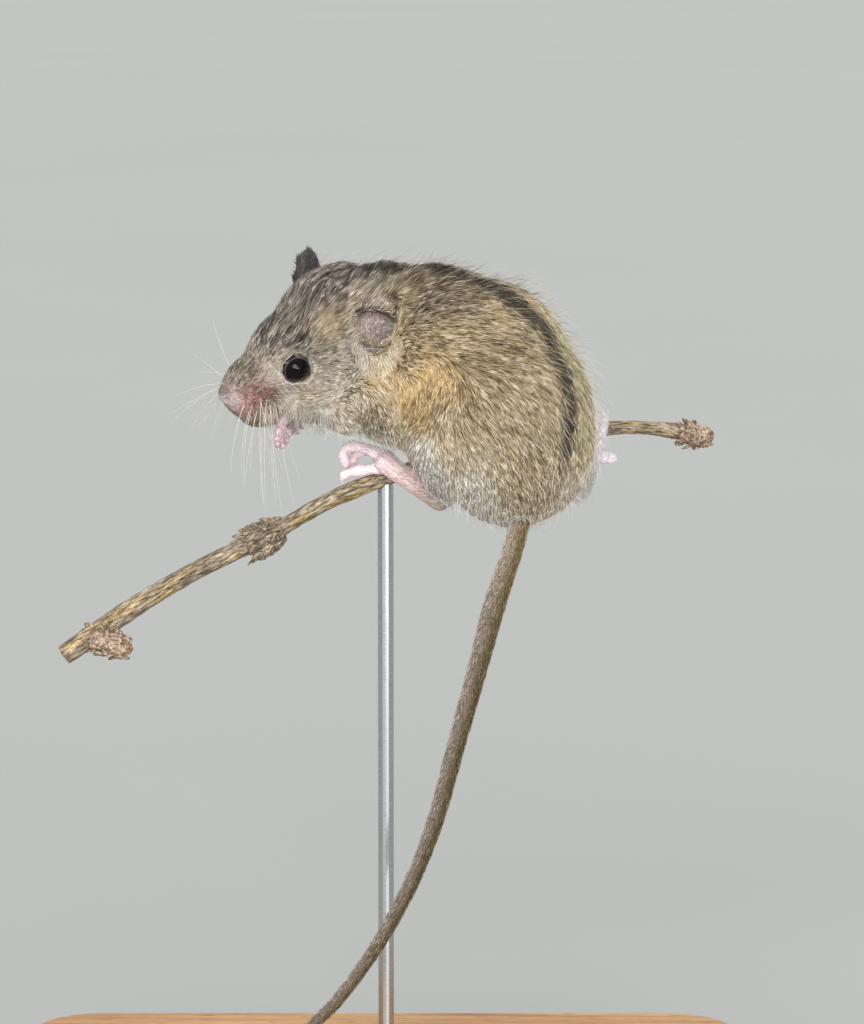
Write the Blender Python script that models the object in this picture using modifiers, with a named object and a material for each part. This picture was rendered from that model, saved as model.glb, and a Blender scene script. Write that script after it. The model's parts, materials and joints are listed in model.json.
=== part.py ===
"""A northern birch mouse gripping a twig, as a life-size museum model on a plain stand.

Metres, +Z up. The origin is the middle of the stand's underside. The mouse looks towards -X, its
left side is towards -Y, and the twig runs along X behind it. Sizes below are in millimetres
unless they say otherwise, and the functions turn them to metres.
"""

import math
import random

import bmesh
import bpy
from mathutils import Matrix, Vector

MM = 0.001
GAP = 0.3          # what touching pieces keep between them
CUT = 0.3          # width of the cuts that part the body

FLAT = (False, False)   # both ends of a tube
SHARP_ANGLE = math.radians(40)

# The stand.
BASE_LENGTH = 92.0
BASE_DEPTH = 58.0
BASE_HEIGHT = 6.0
BASE_CORNER = 9.0
BASE_BEVEL = 1.0
ROD_RADIUS = 1.0
COLLAR_RADIUS = 3.0
COLLAR_HEIGHT = 2.0
ROD_X = 0.4

# The twig's line, left to right, as (x, y, z, radius).
TWIG_ROUTE = (
    (-40.2, 3.2, 58.3, 1.28),
    (-30.2, 3.7, 65.1, 1.24),
    (-22.1, 4.1, 69.7, 1.10),
    (-15.0, 4.4, 73.1, 1.06),
    (-7.8, 4.8, 77.2, 0.98),
    (-3.9, 5.0, 79.0, 1.12),
    (0.4, 5.3, 80.6, 1.00),
    (8.5, 5.8, 83.1, 0.96),
    (18.5, 6.4, 85.4, 0.92),
    (27.9, 7.0, 86.6, 0.86),
    (33.5, 7.3, 86.7, 0.84),
    (37.4, 7.5, 86.2, 0.90),
)
TWIG_SIDES = 8
TWIG_RINGS = 32
KNOB_AT = -15.0    # the x of the old bud ring
KNOB_RADII = (3.2, 2.3, 2.4)
BARK_SCALE = 2.0
BARK_DEPTH = 0.3
SIDE_BUD_AT = -35.4
SIDE_BUD_OFF = (0.9, -0.8, -1.6)
END_BUD_OFF = (1.9, 0.1, -0.4)
SIDE_BUD_RADII = (3.2, 1.9, 1.9)
END_BUD_RADII = (2.6, 1.5, 1.6)

# The trunk, from rump to neck: centre, radii along, across and up, and yaw away from the viewer.
TRUNK = (
    ((14.7, -7.6, 90.3), (11.8, 11.0, 11.9), 40),
    ((16.3, -8.7, 87.0), (9.9, 10.3, 10.5), 40),
    ((12.1, -6.2, 95.4), (11.5, 11.1, 11.6), 36),
    ((6.8, -1.4, 96.4), (11.4, 9.4, 12.0), 28),
    ((0.8, 3.0, 97.6), (10.2, 8.2, 10.7), 10),
    ((12.2, -5.6, 88.2), (9.4, 10.2, 9.0), 34),
    ((3.6, 0.4, 91.7), (8.6, 7.8, 6.9), 22),
)

# The head's own frame: its middle, how far it is bent down, turned to the viewer and rolled.
HEAD_AT = Vector((-5.5, 3.5, 99.95))
HEAD_PITCH = 29.0
HEAD_YAW = 22.0
HEAD_ROLL = 22.0

# Head forms in the head's frame: centre forward, left, up, and the three radii.
HEAD_FORMS = (
    ((0.0, 0.0, 0.2), (8.8, 7.4, 7.8)),
    ((6.0, 0.0, -0.4), (7.4, 5.5, 6.6)),
    ((12.5, 0.0, -0.7), (5.0, 3.4, 4.1)),
    ((11.4, 0.0, -4.2), (5.0, 2.8, 3.0)),
    ((2.0, 0.0, -6.0), (7.0, 5.6, 4.6)),
)
CHEEK_FORMS = (
    ((3.2, 3.2, -3.2), (6.6, 3.9, 4.6)),
    ((14.0, 1.9, -1.7), (3.1, 2.1, 2.5)),
)
NOSE_AT = (16.6, 0.0, 0.2)
NOSE_RADII = (1.4, 1.25, 1.25)
NOSTRIL_AT = (17.4, 0.75, 0.3)
NOSTRIL_RADIUS = 0.34

# The mouth: the line between the lips on one side, forward, left, up.
MOUTH_LINE = (
    (17.6, 0.0, -2.6, 0.24),
    (16.6, 1.9, -3.1, 0.26),
    (14.8, 3.2, -3.7, 0.26),
    (12.8, 4.0, -4.1, 0.24),
    (11.2, 4.5, -4.0, 0.14),
)
UPPER_LIP = (
    (16.7, 0.0, -2.0, 0.60),
    (15.9, 1.5, -2.4, 0.62),
    (14.4, 2.6, -3.0, 0.62),
    (12.4, 3.4, -3.4, 0.45),
)
LOWER_LIP = (
    (15.7, 0.0, -3.4, 0.60),
    (14.9, 1.2, -4.0, 0.62),
    (13.4, 2.2, -4.6, 0.62),
    (11.8, 2.9, -4.8, 0.45),
)

EYE_AT = (8.45, 4.05, 1.12)
EYE_RADIUS = 1.62
EYE_AIM = (0.22, 1.0, 0.22)
LID_LENGTH = 1.66
LID_HEIGHT = 1.50
LID_RADIUS = 0.32

# The ear, a cupped shell: its middle, the way it opens, the way its tip points, and its sizes.
EAR_AT = {1: (-1.9, 8.7, 4.0), -1: (-1.1, 8.6, 3.4)}     # the right ear is laid lower
EAR_OPENS = (0.70, 0.80, 0.10)
EAR_TIP = (-0.42, 0.14, 0.90)
EAR_WIDTH = 2.9
EAR_LENGTH = 3.6
EAR_CUP = 1.7
EAR_WALL = 0.6
EAR_ROOM = (2.7, 3.3, 4.0)

# Limbs as two points with the radius at each.
THIGHS = {
    "left": (((14.4, -13.4, 90.0), 6.2), ((8.2, -9.4, 86.6), 4.8)),
    "right": (((20.6, -1.4, 91.0), 4.9), ((20.6, 0.4, 86.6), 4.2)),
}
SHANKS = {
    "left": (((8.2, -8.0, 85.0), 3.8), ((7.8, -3.3, 80.1), 2.1)),
    "right": (((21.0, -1.0, 85.0), 3.6), ((23.6, -1.0, 81.6), 2.2)),
}
UPPER_ARMS = {
    "left": (((0.6, -4.6, 93.4), 3.8), ((-4.0, -3.4, 89.7), 2.8)),
    "right": (((-1.0, 6.4, 93.4), 3.8), ((-4.8, 6.0, 90.2), 2.8)),
}
FOREARMS = {
    "left": (((-4.0, -3.4, 89.3), 2.5), ((-11.2, -1.9, 90.0), 1.2)),
    "right": (((-4.8, 5.8, 90.0), 2.4), ((-10.4, 2.0, 89.2), 1.4)),
}
REGION_MARGIN = 0.7

# Where planes part head, neck and torso: a point of the plane and the way to the head.
NECK_FRONT = ((-3.4, 2.6, 98.0), (-0.93, 0.18, -0.30))
NECK_BACK = ((1.6, 1.6, 98.0), (-0.96, 0.24, -0.12))

# Feet. The instep and the toes are lines of (x, y, z, radius), each toe with its claw's tip.
HIND_INSTEPS = {
    "left": (
        (7.2, -2.6, 79.0, 1.50),
        (5.2, -0.6, 80.0, 1.36),
        (2.6, 1.4, 81.4, 1.30),
        (0.4, 2.9, 82.8, 1.36),
    ),
    "right": (
        (24.2, -0.4, 79.6, 1.35),
        (25.4, 1.2, 81.2, 1.10),
        (26.2, 2.8, 83.2, 0.95),
        (26.5, 3.7, 84.6, 1.00),
    ),
}
HIND_TOES = {
    "left": (
        (((0.6, 3.4, 83.3, 0.80), (-2.0, 4.3, 84.4, 0.56), (-4.1, 5.0, 84.6, 0.50),
          (-4.9, 5.5, 83.6, 0.46), (-4.6, 5.7, 82.3, 0.38)), (-4.4, 5.8, 81.4)),
        (((0.4, 3.6, 82.2, 0.80), (-1.4, 3.9, 81.9, 0.56), (-3.2, 4.1, 81.6, 0.50),
          (-4.6, 4.3, 81.2, 0.44), (-4.95, 4.5, 80.7, 0.36)), (-5.0, 4.7, 79.9)),
        (((0.8, 4.4, 83.2, 0.80), (-1.2, 5.9, 83.9, 0.54), (-3.0, 7.0, 83.6, 0.48),
          (-3.8, 7.6, 82.4, 0.42), (-3.8, 7.7, 81.2, 0.36)), (-3.7, 7.4, 80.4)),
        (((1.0, 4.8, 82.6, 0.70), (0.2, 6.6, 83.2, 0.50), (-0.5, 7.9, 82.8, 0.44),
          (-0.6, 8.5, 81.6, 0.38)), (-0.5, 8.3, 80.7)),
        (((2.4, 1.9, 81.8, 0.70), (1.4, 3.6, 82.9, 0.50), (0.9, 4.8, 83.0, 0.42)), (0.4, 5.7, 82.7)),
    ),
    "right": (
        (((26.3, 3.8, 84.6, 0.76), (25.8, 4.8, 86.6, 0.52), (25.6, 5.9, 88.1, 0.48),
          (25.5, 7.4, 88.6, 0.44), (25.4, 8.6, 87.8, 0.38)), (25.4, 9.0, 86.9)),
        (((26.6, 3.9, 84.8, 0.76), (26.7, 4.7, 86.6, 0.56), (26.7, 5.8, 88.1, 0.50),
          (26.7, 7.4, 88.8, 0.46), (26.7, 8.7, 88.0, 0.40)), (26.7, 9.2, 87.0)),
        (((26.8, 3.6, 84.6, 0.76), (27.5, 4.6, 86.2, 0.52), (27.8, 5.7, 87.7, 0.48),
          (27.9, 7.2, 88.4, 0.44), (27.9, 8.4, 87.6, 0.38)), (27.9, 8.9, 86.7)),
        (((26.6, 3.2, 83.7, 0.76), (27.9, 3.0, 83.5, 0.64), (28.8, 3.0, 83.4, 0.56)), (29.6, 3.3, 83.2)),
        (((25.8, 2.9, 83.4, 0.66), (25.0, 4.4, 85.2, 0.50), (24.7, 5.3, 86.6, 0.44)), (24.6, 6.0, 87.7)),
    ),
}
FORE_PALMS = {
    "left": (
        (-10.8, -1.0, 89.8, 0.80),
        (-11.9, -1.9, 89.0, 0.68),
        (-12.5, -3.0, 88.0, 0.58),
    ),
    "right": (
        (-10.6, 0.6, 89.0, 0.90),
        (-11.0, 0.2, 88.6, 0.75),
        (-11.0, 0.0, 88.2, 0.64),
    ),
}
FORE_TOES = {
    "left": (
        (((-12.7, -3.7, 87.6, 0.42), (-13.0, -4.0, 86.6, 0.34), (-12.9, -4.1, 85.9, 0.28)), (-12.7, -4.0, 85.3)),
        (((-12.5, -3.5, 87.5, 0.42), (-12.5, -3.7, 86.3, 0.36), (-12.3, -3.6, 85.7, 0.30)), (-12.1, -3.5, 85.1)),
        (((-12.3, -3.2, 87.6, 0.40), (-12.0, -3.1, 86.8, 0.32), (-11.8, -3.0, 86.2, 0.27)), (-11.5, -2.9, 85.7)),
        (((-12.2, -3.0, 87.9, 0.36), (-11.7, -2.7, 87.4, 0.28), (-11.4, -2.6, 87.0, 0.24)), (-11.1, -2.5, 86.6)),
    ),
    "right": (
        (((-11.2, -0.2, 88.2, 0.40), (-11.5, -0.4, 87.6, 0.32), (-11.3, -0.4, 87.1, 0.26)), (-11.0, -0.3, 86.7)),
        (((-11.0, 0.0, 88.1, 0.40), (-10.9, -0.1, 87.5, 0.32), (-10.6, 0.0, 87.1, 0.26)), (-10.2, 0.1, 86.9)),
        (((-10.9, 0.3, 88.2, 0.38), (-10.4, 0.4, 87.9, 0.30), (-10.0, 0.5, 87.7, 0.24)), (-9.6, 0.6, 87.9)),
        (((-10.8, 0.6, 88.6, 0.34), (-10.2, 0.9, 88.4, 0.26), (-9.8, 1.1, 88.4, 0.22)), (-9.4, 1.2, 88.6)),
    ),
}
CLAW_RADIUS = 0.2

# Tail line from its root, as (x, y, z, radius).
TAIL_ROUTE = (
    (17.5, -11.6, 79.2, 1.08),
    (16.1, -12.0, 73.8, 1.20),
    (14.0, -12.2, 67.4, 1.34),
    (11.8, -12.0, 59.0, 1.18),
    (9.3, -11.6, 49.8, 1.04),
    (6.6, -11.2, 39.8, 0.94),
    (3.2, -10.8, 31.0, 0.86),
    (-1.6, -10.4, 22.4, 0.78),
    (-7.2, -10.2, 15.2, 0.70),
    (-13.4, -10.2, 10.8, 0.60),
    (-19.4, -10.4, 9.0, 0.48),
    (-22.6, -10.6, 8.9, 0.36),
)
TAIL_SIDES = 8
TAIL_RINGS = 40
TAIL_PARTS = (("tail_root", 0, 13), ("tail_middle", 13, 26), ("tail_tip", 26, 39))


def clear_scene():
    for obj in list(bpy.data.objects):
        bpy.data.objects.remove(obj, do_unlink=True)


def collection(name):
    made = bpy.data.collections.new(name)
    bpy.context.scene.collection.children.link(made)
    return made


def material(name, hex_colour, roughness, metallic=0.0):
    """A Principled BSDF whose colour is given as sRGB hex."""
    made = bpy.data.materials.new(name)
    made.use_nodes = True
    shader = made.node_tree.nodes["Principled BSDF"]
    channels = [int(hex_colour[i:i + 2], 16) / 255 for i in (0, 2, 4)]
    linear = [c / 12.92 if c < 0.04045 else ((c + 0.055) / 1.055) ** 2.4 for c in channels]
    shader.inputs["Base Color"].default_value = (*linear, 1)
    shader.inputs["Roughness"].default_value = roughness
    shader.inputs["Metallic"].default_value = metallic
    return made


def new_object(name, mesh, where):
    obj = bpy.data.objects.new(name, mesh)
    where.objects.link(obj)
    return obj


def from_bmesh(name, bm, where):
    bmesh.ops.recalc_face_normals(bm, faces=bm.faces)
    mesh = bpy.data.meshes.new(name)
    bm.to_mesh(mesh)
    bm.free()
    return new_object(name, mesh, where)


def axes(yaw, pitch=0.0, roll=0.0):
    """Forward, left and up of something that faces -X, turned away from the viewer by yaw degrees."""
    a, p, r = (math.radians(v) for v in (yaw, pitch, roll))
    forward = Vector((-math.cos(a) * math.cos(p), math.sin(a) * math.cos(p), -math.sin(p)))
    left = Vector((0, 0, 1)).cross(forward).normalized()
    up = forward.cross(left)
    return forward, left * math.cos(r) - up * math.sin(r), up * math.cos(r) + left * math.sin(r)


def placed(centre, directions):
    """The matrix of a frame at centre, in millimetres, turned to metres."""
    turn = Matrix(directions).transposed().to_4x4()
    return Matrix.Scale(MM, 4) @ Matrix.Translation(centre) @ turn


def ellipsoid(name, frame, centre, radii, where, detail=3):
    bm = bmesh.new()
    stretch = Matrix.Diagonal((*radii, 1))
    bmesh.ops.create_icosphere(bm, subdivisions=detail, radius=1.0, matrix=stretch)
    bmesh.ops.transform(bm, matrix=frame @ Matrix.Translation(centre), verts=bm.verts)
    return from_bmesh(name, bm, where)


def smooth_line(route, count):
    """count points, as (place, radius), along a Catmull-Rom curve through route's points."""
    points = [Vector(p[:3]) for p in route]
    radii = [p[3] for p in route]
    points = [2 * points[0] - points[1], *points, 2 * points[-1] - points[-2]]
    radii = [radii[0], *radii, radii[-1]]
    spans = len(route) - 1
    line = []
    for i in range(count):
        at = i / (count - 1) * spans
        k = min(int(at), spans - 1)
        t = at - k
        a, b, c, d = points[k:k + 4]
        place = 0.5 * (2 * b + (c - a) * t + (2 * a - 5 * b + 4 * c - d) * t ** 2
                       + (3 * b - a - 3 * c + d) * t ** 3)
        line.append((place, radii[k + 1] * (1 - t) + radii[k + 2] * t))
    return line


def tube(name, line, where, sides=10, domed=(True, True), ring=False):
    """A closed tube along line, a list of (place, radius), with domed or flat ends, or a ring."""
    line = list(line)
    if domed[0] and not ring:
        line = dome(line[0], line[1])[::-1] + line
    if domed[1] and not ring:
        line += dome(line[-1], line[-2])
    curve = bpy.data.curves.new(name, "CURVE")
    curve.dimensions = "3D"
    curve.bevel_depth = MM
    curve.bevel_resolution = (sides - 4) // 2
    curve.use_fill_caps = True
    spline = curve.splines.new("POLY")
    spline.points.add(len(line) - 1)
    spline.use_cyclic_u = ring
    for point, (place, radius) in zip(spline.points, line):
        point.co = (*(place * MM), 1)
        point.radius = radius
    guide = bpy.data.objects.new(name + "_guide", curve)
    where.objects.link(guide)
    bpy.context.view_layer.update()
    graph = bpy.context.evaluated_depsgraph_get()
    bm = bmesh.new()
    bm.from_mesh(bpy.data.meshes.new_from_object(guide.evaluated_get(graph)))
    bpy.data.objects.remove(guide)
    bmesh.ops.remove_doubles(bm, verts=bm.verts, dist=1e-6)
    return from_bmesh(name, bm, where)


def dome(end, inner):
    """Two more rings that round off a tube's end."""
    place, radius = end
    out = (place - inner[0]).normalized() * radius
    return [(place + out * 0.5, radius * 0.84), (place + out * 0.84, radius * 0.42)]


def cylinder(name, foot, height, low, high, segments):
    """An upright round piece from foot up, its radius going from low to high."""
    bm = bmesh.new()
    bmesh.ops.create_cone(
        bm, cap_ends=True, segments=segments, radius1=low * MM, radius2=high * MM, depth=height * MM
    )
    middle = foot + Vector((0, 0, height / 2))
    bmesh.ops.translate(bm, vec=middle * MM, verts=bm.verts)
    return from_bmesh(name, bm, MODEL)


def capsule(name, ends, where):
    """A tapered tube with a ball at each end, from two (place, radius) pairs."""
    (start, r0), (stop, r1) = ends
    start, stop = Vector(start), Vector(stop)
    whole = Matrix.Scale(MM, 4)
    return [
        tube(name + "_shaft", [(start, r0), ((start + stop) / 2, (r0 + r1) / 2), (stop, r1)], where, 16),
        ellipsoid(name + "_start", whole, start, (r0, r0, r0), where, 2),
        ellipsoid(name + "_stop", whole, stop, (r1, r1, r1), where, 2),
    ]


def joined(name, objects, where):
    """One object holding the meshes of several, which are removed."""
    bm = bmesh.new()
    for obj in objects:
        bm.from_mesh(obj.data)
        bpy.data.objects.remove(obj)
    return from_bmesh(name, bm, where)


def settle(obj):
    """Replaces obj's mesh by the one its modifiers give, and removes them."""
    bpy.context.view_layer.update()
    graph = bpy.context.evaluated_depsgraph_get()
    mesh = bpy.data.meshes.new_from_object(obj.evaluated_get(graph))
    obj.modifiers.clear()
    obj.data = mesh
    return obj


def keep_largest(obj):
    """Leaves only the largest closed surface."""
    bm = bmesh.new()
    bm.from_mesh(obj.data)
    left = set(bm.verts)
    groups = []
    while left:
        found = {left.pop()}
        edge = list(found)
        while edge:
            vert = edge.pop()
            for link in vert.link_edges:
                other = link.other_vert(vert)
                if other not in found:
                    found.add(other)
                    edge.append(other)
        left -= found
        groups.append(found)
    groups.sort(key=len)
    scrap = [v for group in groups[:-1] for v in group]
    bmesh.ops.delete(bm, geom=scrap, context="VERTS")
    bm.to_mesh(obj.data)
    bm.free()
    return obj


def is_closed(mesh):
    """Whether a mesh has faces and each of its edges lies between two of them."""
    bm = bmesh.new()
    bm.from_mesh(mesh)
    whole = len(bm.faces) > 0 and all(e.is_manifold for e in bm.edges)
    bm.free()
    return whole


def boolean(obj, operation, other=None, others=None):
    """Applies a Boolean of obj with one object, or with a collection of them.

    The second solver takes over where the first leaves a surface that isn't closed.
    """
    before = obj.data
    for solver in ("EXACT", "MANIFOLD"):
        obj.data = before
        change = obj.modifiers.new(operation.lower(), "BOOLEAN")
        change.operation = operation
        change.solver = solver
        if others is not None:
            change.operand_type = "COLLECTION"
            change.collection = others
        else:
            change.object = other
        settle(obj)
        if is_closed(obj.data):
            break
    return obj


def union(name, objects):
    """Fuses closed objects into the first, which is renamed, and removes the others."""
    first, rest = objects[0], objects[1:]
    group = collection("pieces_of_" + name)
    for obj in rest:
        group.objects.link(obj)
    boolean(first, "UNION", others=group)
    for obj in rest:
        bpy.data.objects.remove(obj)
    bpy.data.collections.remove(group)
    first.name = name
    return keep_largest(first)


def copy_of(obj, grow=0.0):
    """A copy whose surface stands out by grow millimetres."""
    twin = new_object(obj.name + "_copy", obj.data.copy(), HELPERS)
    if grow:
        bm = bmesh.new()
        bm.from_mesh(twin.data)
        bm.normal_update()
        shift = {v: v.normal * v.calc_shell_factor() * grow * MM for v in bm.verts}
        for vert, step in shift.items():
            vert.co += step
        bm.to_mesh(twin.data)
        bm.free()
    return twin


def clear_of(obj, *neighbours, gap=GAP):
    """Cuts obj back so that it keeps gap millimetres from its neighbours."""
    for other in neighbours:
        grown = copy_of(other, gap)
        boolean(obj, "DIFFERENCE", grown)
        bpy.data.objects.remove(grown)
    return keep_largest(obj)


def melted(name, objects, voxel, smoothing, triangles, where):
    """One smooth body from overlapping forms."""
    obj = joined(name, objects, where)
    skin = obj.modifiers.new("melt", "REMESH")
    skin.mode = "VOXEL"
    skin.voxel_size = voxel * MM
    soften = obj.modifiers.new("soften", "SMOOTH")
    soften.factor = 0.5
    soften.iterations = smoothing
    settle(obj)
    keep_largest(obj)
    thin = obj.modifiers.new("thin", "DECIMATE")
    count = sum(len(p.vertices) - 2 for p in obj.data.polygons)
    thin.ratio = min(1.0, triangles / count)
    thin.use_collapse_triangulate = True
    return settle(obj)


def head_point(point):
    """A point of the head's frame in world millimetres."""
    return (HEAD @ Vector(point)) / MM


def head_line(route, side, count):
    """smooth_line for a route given in the head's frame, mirrored for side -1."""
    return [(head_point((p[0], p[1] * side, p[2])), r) for p, r in smooth_line(route, count)]


def ring_line(centre, facing, across, length, height, radius, count=28):
    """An oval about centre, square to facing, for a tube that is a ring."""
    facing = Vector(facing).normalized()
    across = (Vector(across) - facing * facing.dot(Vector(across))).normalized()
    other = facing.cross(across)
    turns = [2 * math.pi * i / count for i in range(count)]
    return [
        (centre + across * (math.cos(t) * length) + other * (math.sin(t) * height), radius)
        for t in turns
    ]


def eye_parts(side):
    """Centre, aim and level direction of one eye, in world millimetres."""
    f, l, u = EYE_AT
    centre = head_point((f, l * side, u))
    turn = HEAD.to_3x3() * (1 / MM)
    aim = (turn @ Vector((EYE_AIM[0], EYE_AIM[1] * side, EYE_AIM[2]))).normalized()
    level = turn @ Vector((1.0, 0.0, -0.18))
    return centre, aim, level


def flesh_forms():
    """The overlapping forms that make head, trunk and upper limbs."""
    forms = []
    for i, (centre, radii, yaw) in enumerate(TRUNK):
        frame = placed(centre, axes(yaw))
        forms.append(ellipsoid(f"trunk_{i}", frame, (0, 0, 0), radii, HELPERS))
    for i, (centre, radii) in enumerate(HEAD_FORMS):
        forms.append(ellipsoid(f"head_form_{i}", HEAD, centre, radii, HELPERS))
    for i, ((f, l, u), radii) in enumerate(CHEEK_FORMS):
        for side in (1, -1):
            forms.append(ellipsoid(f"cheek_{i}", HEAD, (f, l * side, u), radii, HELPERS))
    forms.append(ellipsoid("nose_form", HEAD, NOSE_AT, NOSE_RADII, HELPERS))
    for limbs in (THIGHS, SHANKS, UPPER_ARMS, FOREARMS):
        for side, ends in limbs.items():
            forms += capsule("limb_" + side, ends, HELPERS)
    return forms


def face_forms():
    """Lips and lids, which only the head's finer skin shows."""
    forms = []
    for side in (1, -1):
        for route in (UPPER_LIP, LOWER_LIP):
            forms.append(tube("lip", head_line(route, side, 12), HELPERS, 10))
        centre, aim, level = eye_parts(side)
        ring = ring_line(centre + aim * 0.55, aim, level, LID_LENGTH, LID_HEIGHT, LID_RADIUS)
        forms.append(tube("lid", ring, HELPERS, 8, ring=True))
    return forms


def slab(name, point, towards, thickness, reach=60.0):
    """A wide flat box whose middle plane passes through point, square to towards."""
    towards = Vector(towards).normalized()
    side = towards.orthogonal().normalized()
    frame = placed(Vector(point), (towards, side, towards.cross(side)))
    bm = bmesh.new()
    bmesh.ops.create_cube(bm, size=1.0)
    bmesh.ops.transform(bm, matrix=frame @ Matrix.Diagonal((thickness, reach, reach, 1)), verts=bm.verts)
    return from_bmesh(name, bm, HELPERS)


def half_space(name, point, towards, reach=60.0):
    """A box that fills the side of the plane that towards points to, from half a cut away."""
    towards = Vector(towards).normalized()
    middle = Vector(point) + towards * (reach / 2 + CUT / 2)
    return slab(name, middle, towards, reach, reach * 2)


def limb_region(name, ends, margin):
    """The room that a limb takes in the flesh."""
    grown = [(point, radius + margin) for point, radius in ends]
    return melted(name, capsule(name, grown, HELPERS), 0.6, 4, 150, HELPERS)


def part_from(name, flesh, region):
    """The flesh inside region, as a node of its own."""
    piece = copy_of(flesh)
    boolean(piece, "INTERSECT", region)
    piece.name = name
    MODEL.objects.link(piece)
    HELPERS.objects.unlink(piece)
    return keep_largest(piece)


def foot(name, instep, toes, fuller, sides=10):
    """The forms of a foot with its toes and claws. fuller is added to each toe's radius."""
    pieces = [tube(name + "_instep", smooth_line(instep, 12), HELPERS, 12)]
    heel, size = Vector(instep[0][:3]), instep[0][3]
    pieces.append(ellipsoid(name + "_heel", Matrix.Scale(MM, 4), heel, (size,) * 3, HELPERS, 2))
    for route, claw_tip in toes:
        line = [(place, r + fuller) for place, r in smooth_line(route, 4 * len(route))]
        pieces.append(tube(name + "_toe", line, HELPERS, sides))
        last, before = line[-1][0], line[-3][0]
        tip = Vector(claw_tip)
        middle = (last + tip) / 2 + (last - before).normalized() * 0.12
        claw = [(last, CLAW_RADIUS), (middle, CLAW_RADIUS * 0.8), (tip, 0.06)]
        pieces.append(tube(name + "_claw", claw, HELPERS, 8))
    return pieces


def ear_frame(side):
    """Middle of an ear's rim, the way it opens, the way across and the way to its tip."""
    turn = HEAD.to_3x3() * (1 / MM)
    f, l, u = EAR_AT[side]
    opens = (turn @ Vector((EAR_OPENS[0], EAR_OPENS[1] * side, EAR_OPENS[2]))).normalized()
    tip = turn @ Vector((EAR_TIP[0], EAR_TIP[1] * side, EAR_TIP[2]))
    tip = (tip - opens * tip.dot(opens)).normalized()
    return head_point((f, l * side, u)), opens, tip.cross(opens), tip


def ear(name, side):
    """A cupped ear: the lower half of an oval ball as an open surface, made thick."""
    centre, opens, across, tip = ear_frame(side)
    frame = placed(centre, (opens, across, tip))
    bm = bmesh.new()
    turn = Matrix.Rotation(math.pi / 2, 4, "Y")
    bmesh.ops.create_uvsphere(bm, u_segments=16, v_segments=8, radius=1.0, matrix=turn)
    bmesh.ops.delete(bm, geom=[v for v in bm.verts if v.co.x > 0.01], context="VERTS")
    stretch = Matrix.Diagonal((EAR_CUP, EAR_WIDTH, EAR_LENGTH, 1))
    bmesh.ops.transform(bm, matrix=frame @ stretch, verts=bm.verts)
    shell = from_bmesh(name, bm, MODEL)
    wall = shell.modifiers.new("wall", "SOLIDIFY")
    wall.thickness = EAR_WALL * MM
    wall.offset = 0
    return settle(shell)


def ear_room(side):
    """The open air in front of an ear, where the coat parts round it."""
    centre, opens, across, tip = ear_frame(side)
    deep, wide, long = EAR_ROOM
    frame = placed(centre + opens * (deep - EAR_CUP), (opens, across, tip))
    return ellipsoid("ear_room", frame, (0, 0, 0), (deep, wide, long), HELPERS, 2)


def scaly(name, centre, along, radii, scales, seed, core=0.8):
    """Forms of a bud: an oval core with overlapping scales round it that point along it."""
    rng = random.Random(seed)
    along = Vector(along).normalized()
    side = along.orthogonal().normalized()
    frame = placed(Vector(centre), (along, side, along.cross(side)))
    length, wide, high = radii
    forms = [ellipsoid(name, frame, (0, 0, 0), (length, wide * core, high * core), HELPERS, 2)]
    for i in range(scales):
        t = (i + 0.5) / scales
        turn = i * 2.4 + rng.uniform(-0.3, 0.3)
        x = length * (1.6 * t - 0.9)
        reach = math.sqrt(max(0.05, 1 - (x / length) ** 2)) * rng.uniform(0.8, 1.05)
        out = Vector((0, math.cos(turn) * wide * reach, math.sin(turn) * high * reach))
        size = length * rng.uniform(0.34, 0.5)
        tilt = Matrix.Rotation(rng.uniform(0.1, 0.5), 4, "Y")
        local = Matrix.Translation(Vector((x, 0, 0)) + out) @ Matrix.Rotation(turn - math.pi / 2, 4, "X") @ tilt
        forms.append(ellipsoid(name, frame @ local, (0, 0, 0), (size, size * 0.55, 0.3), HELPERS, 2))
    return forms


def rounded_plate(name, length, depth, height, corner, bevel):
    """A plate standing on the floor, with round corners and a softened top edge."""
    bm = bmesh.new()
    bmesh.ops.create_cube(bm, size=1.0)
    size = Matrix.Diagonal((length * MM, depth * MM, height * MM, 1))
    bmesh.ops.transform(bm, matrix=Matrix.Translation((0, 0, height / 2 * MM)) @ size, verts=bm.verts)
    upright = [e for e in bm.edges if abs(e.verts[0].co.z - e.verts[1].co.z) > MM]
    bmesh.ops.bevel(bm, geom=upright, offset=corner * MM, segments=6, profile=0.5, affect="EDGES")
    top = [e for e in bm.edges if min(v.co.z for v in e.verts) > (height - 0.01) * MM]
    bmesh.ops.bevel(bm, geom=top, offset=bevel * MM, segments=3, profile=0.5, affect="EDGES")
    return from_bmesh(name, bm, MODEL)


clear_scene()
MODEL = collection("birch_mouse_on_twig")
HELPERS = collection("helpers")
HEAD = placed(HEAD_AT, axes(-HEAD_YAW, HEAD_PITCH, HEAD_ROLL))

# Wood: the twig with its old bud ring, two buds, and the stand.
twig_line = smooth_line(TWIG_ROUTE, TWIG_RINGS)


def twig_at(x):
    """The twig's centre at a value of x between its ends."""
    for (low, _), (high, _) in zip(twig_line, twig_line[1:]):
        if low.x <= x <= high.x:
            return low.lerp(high, (x - low.x) / (high.x - low.x))


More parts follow.
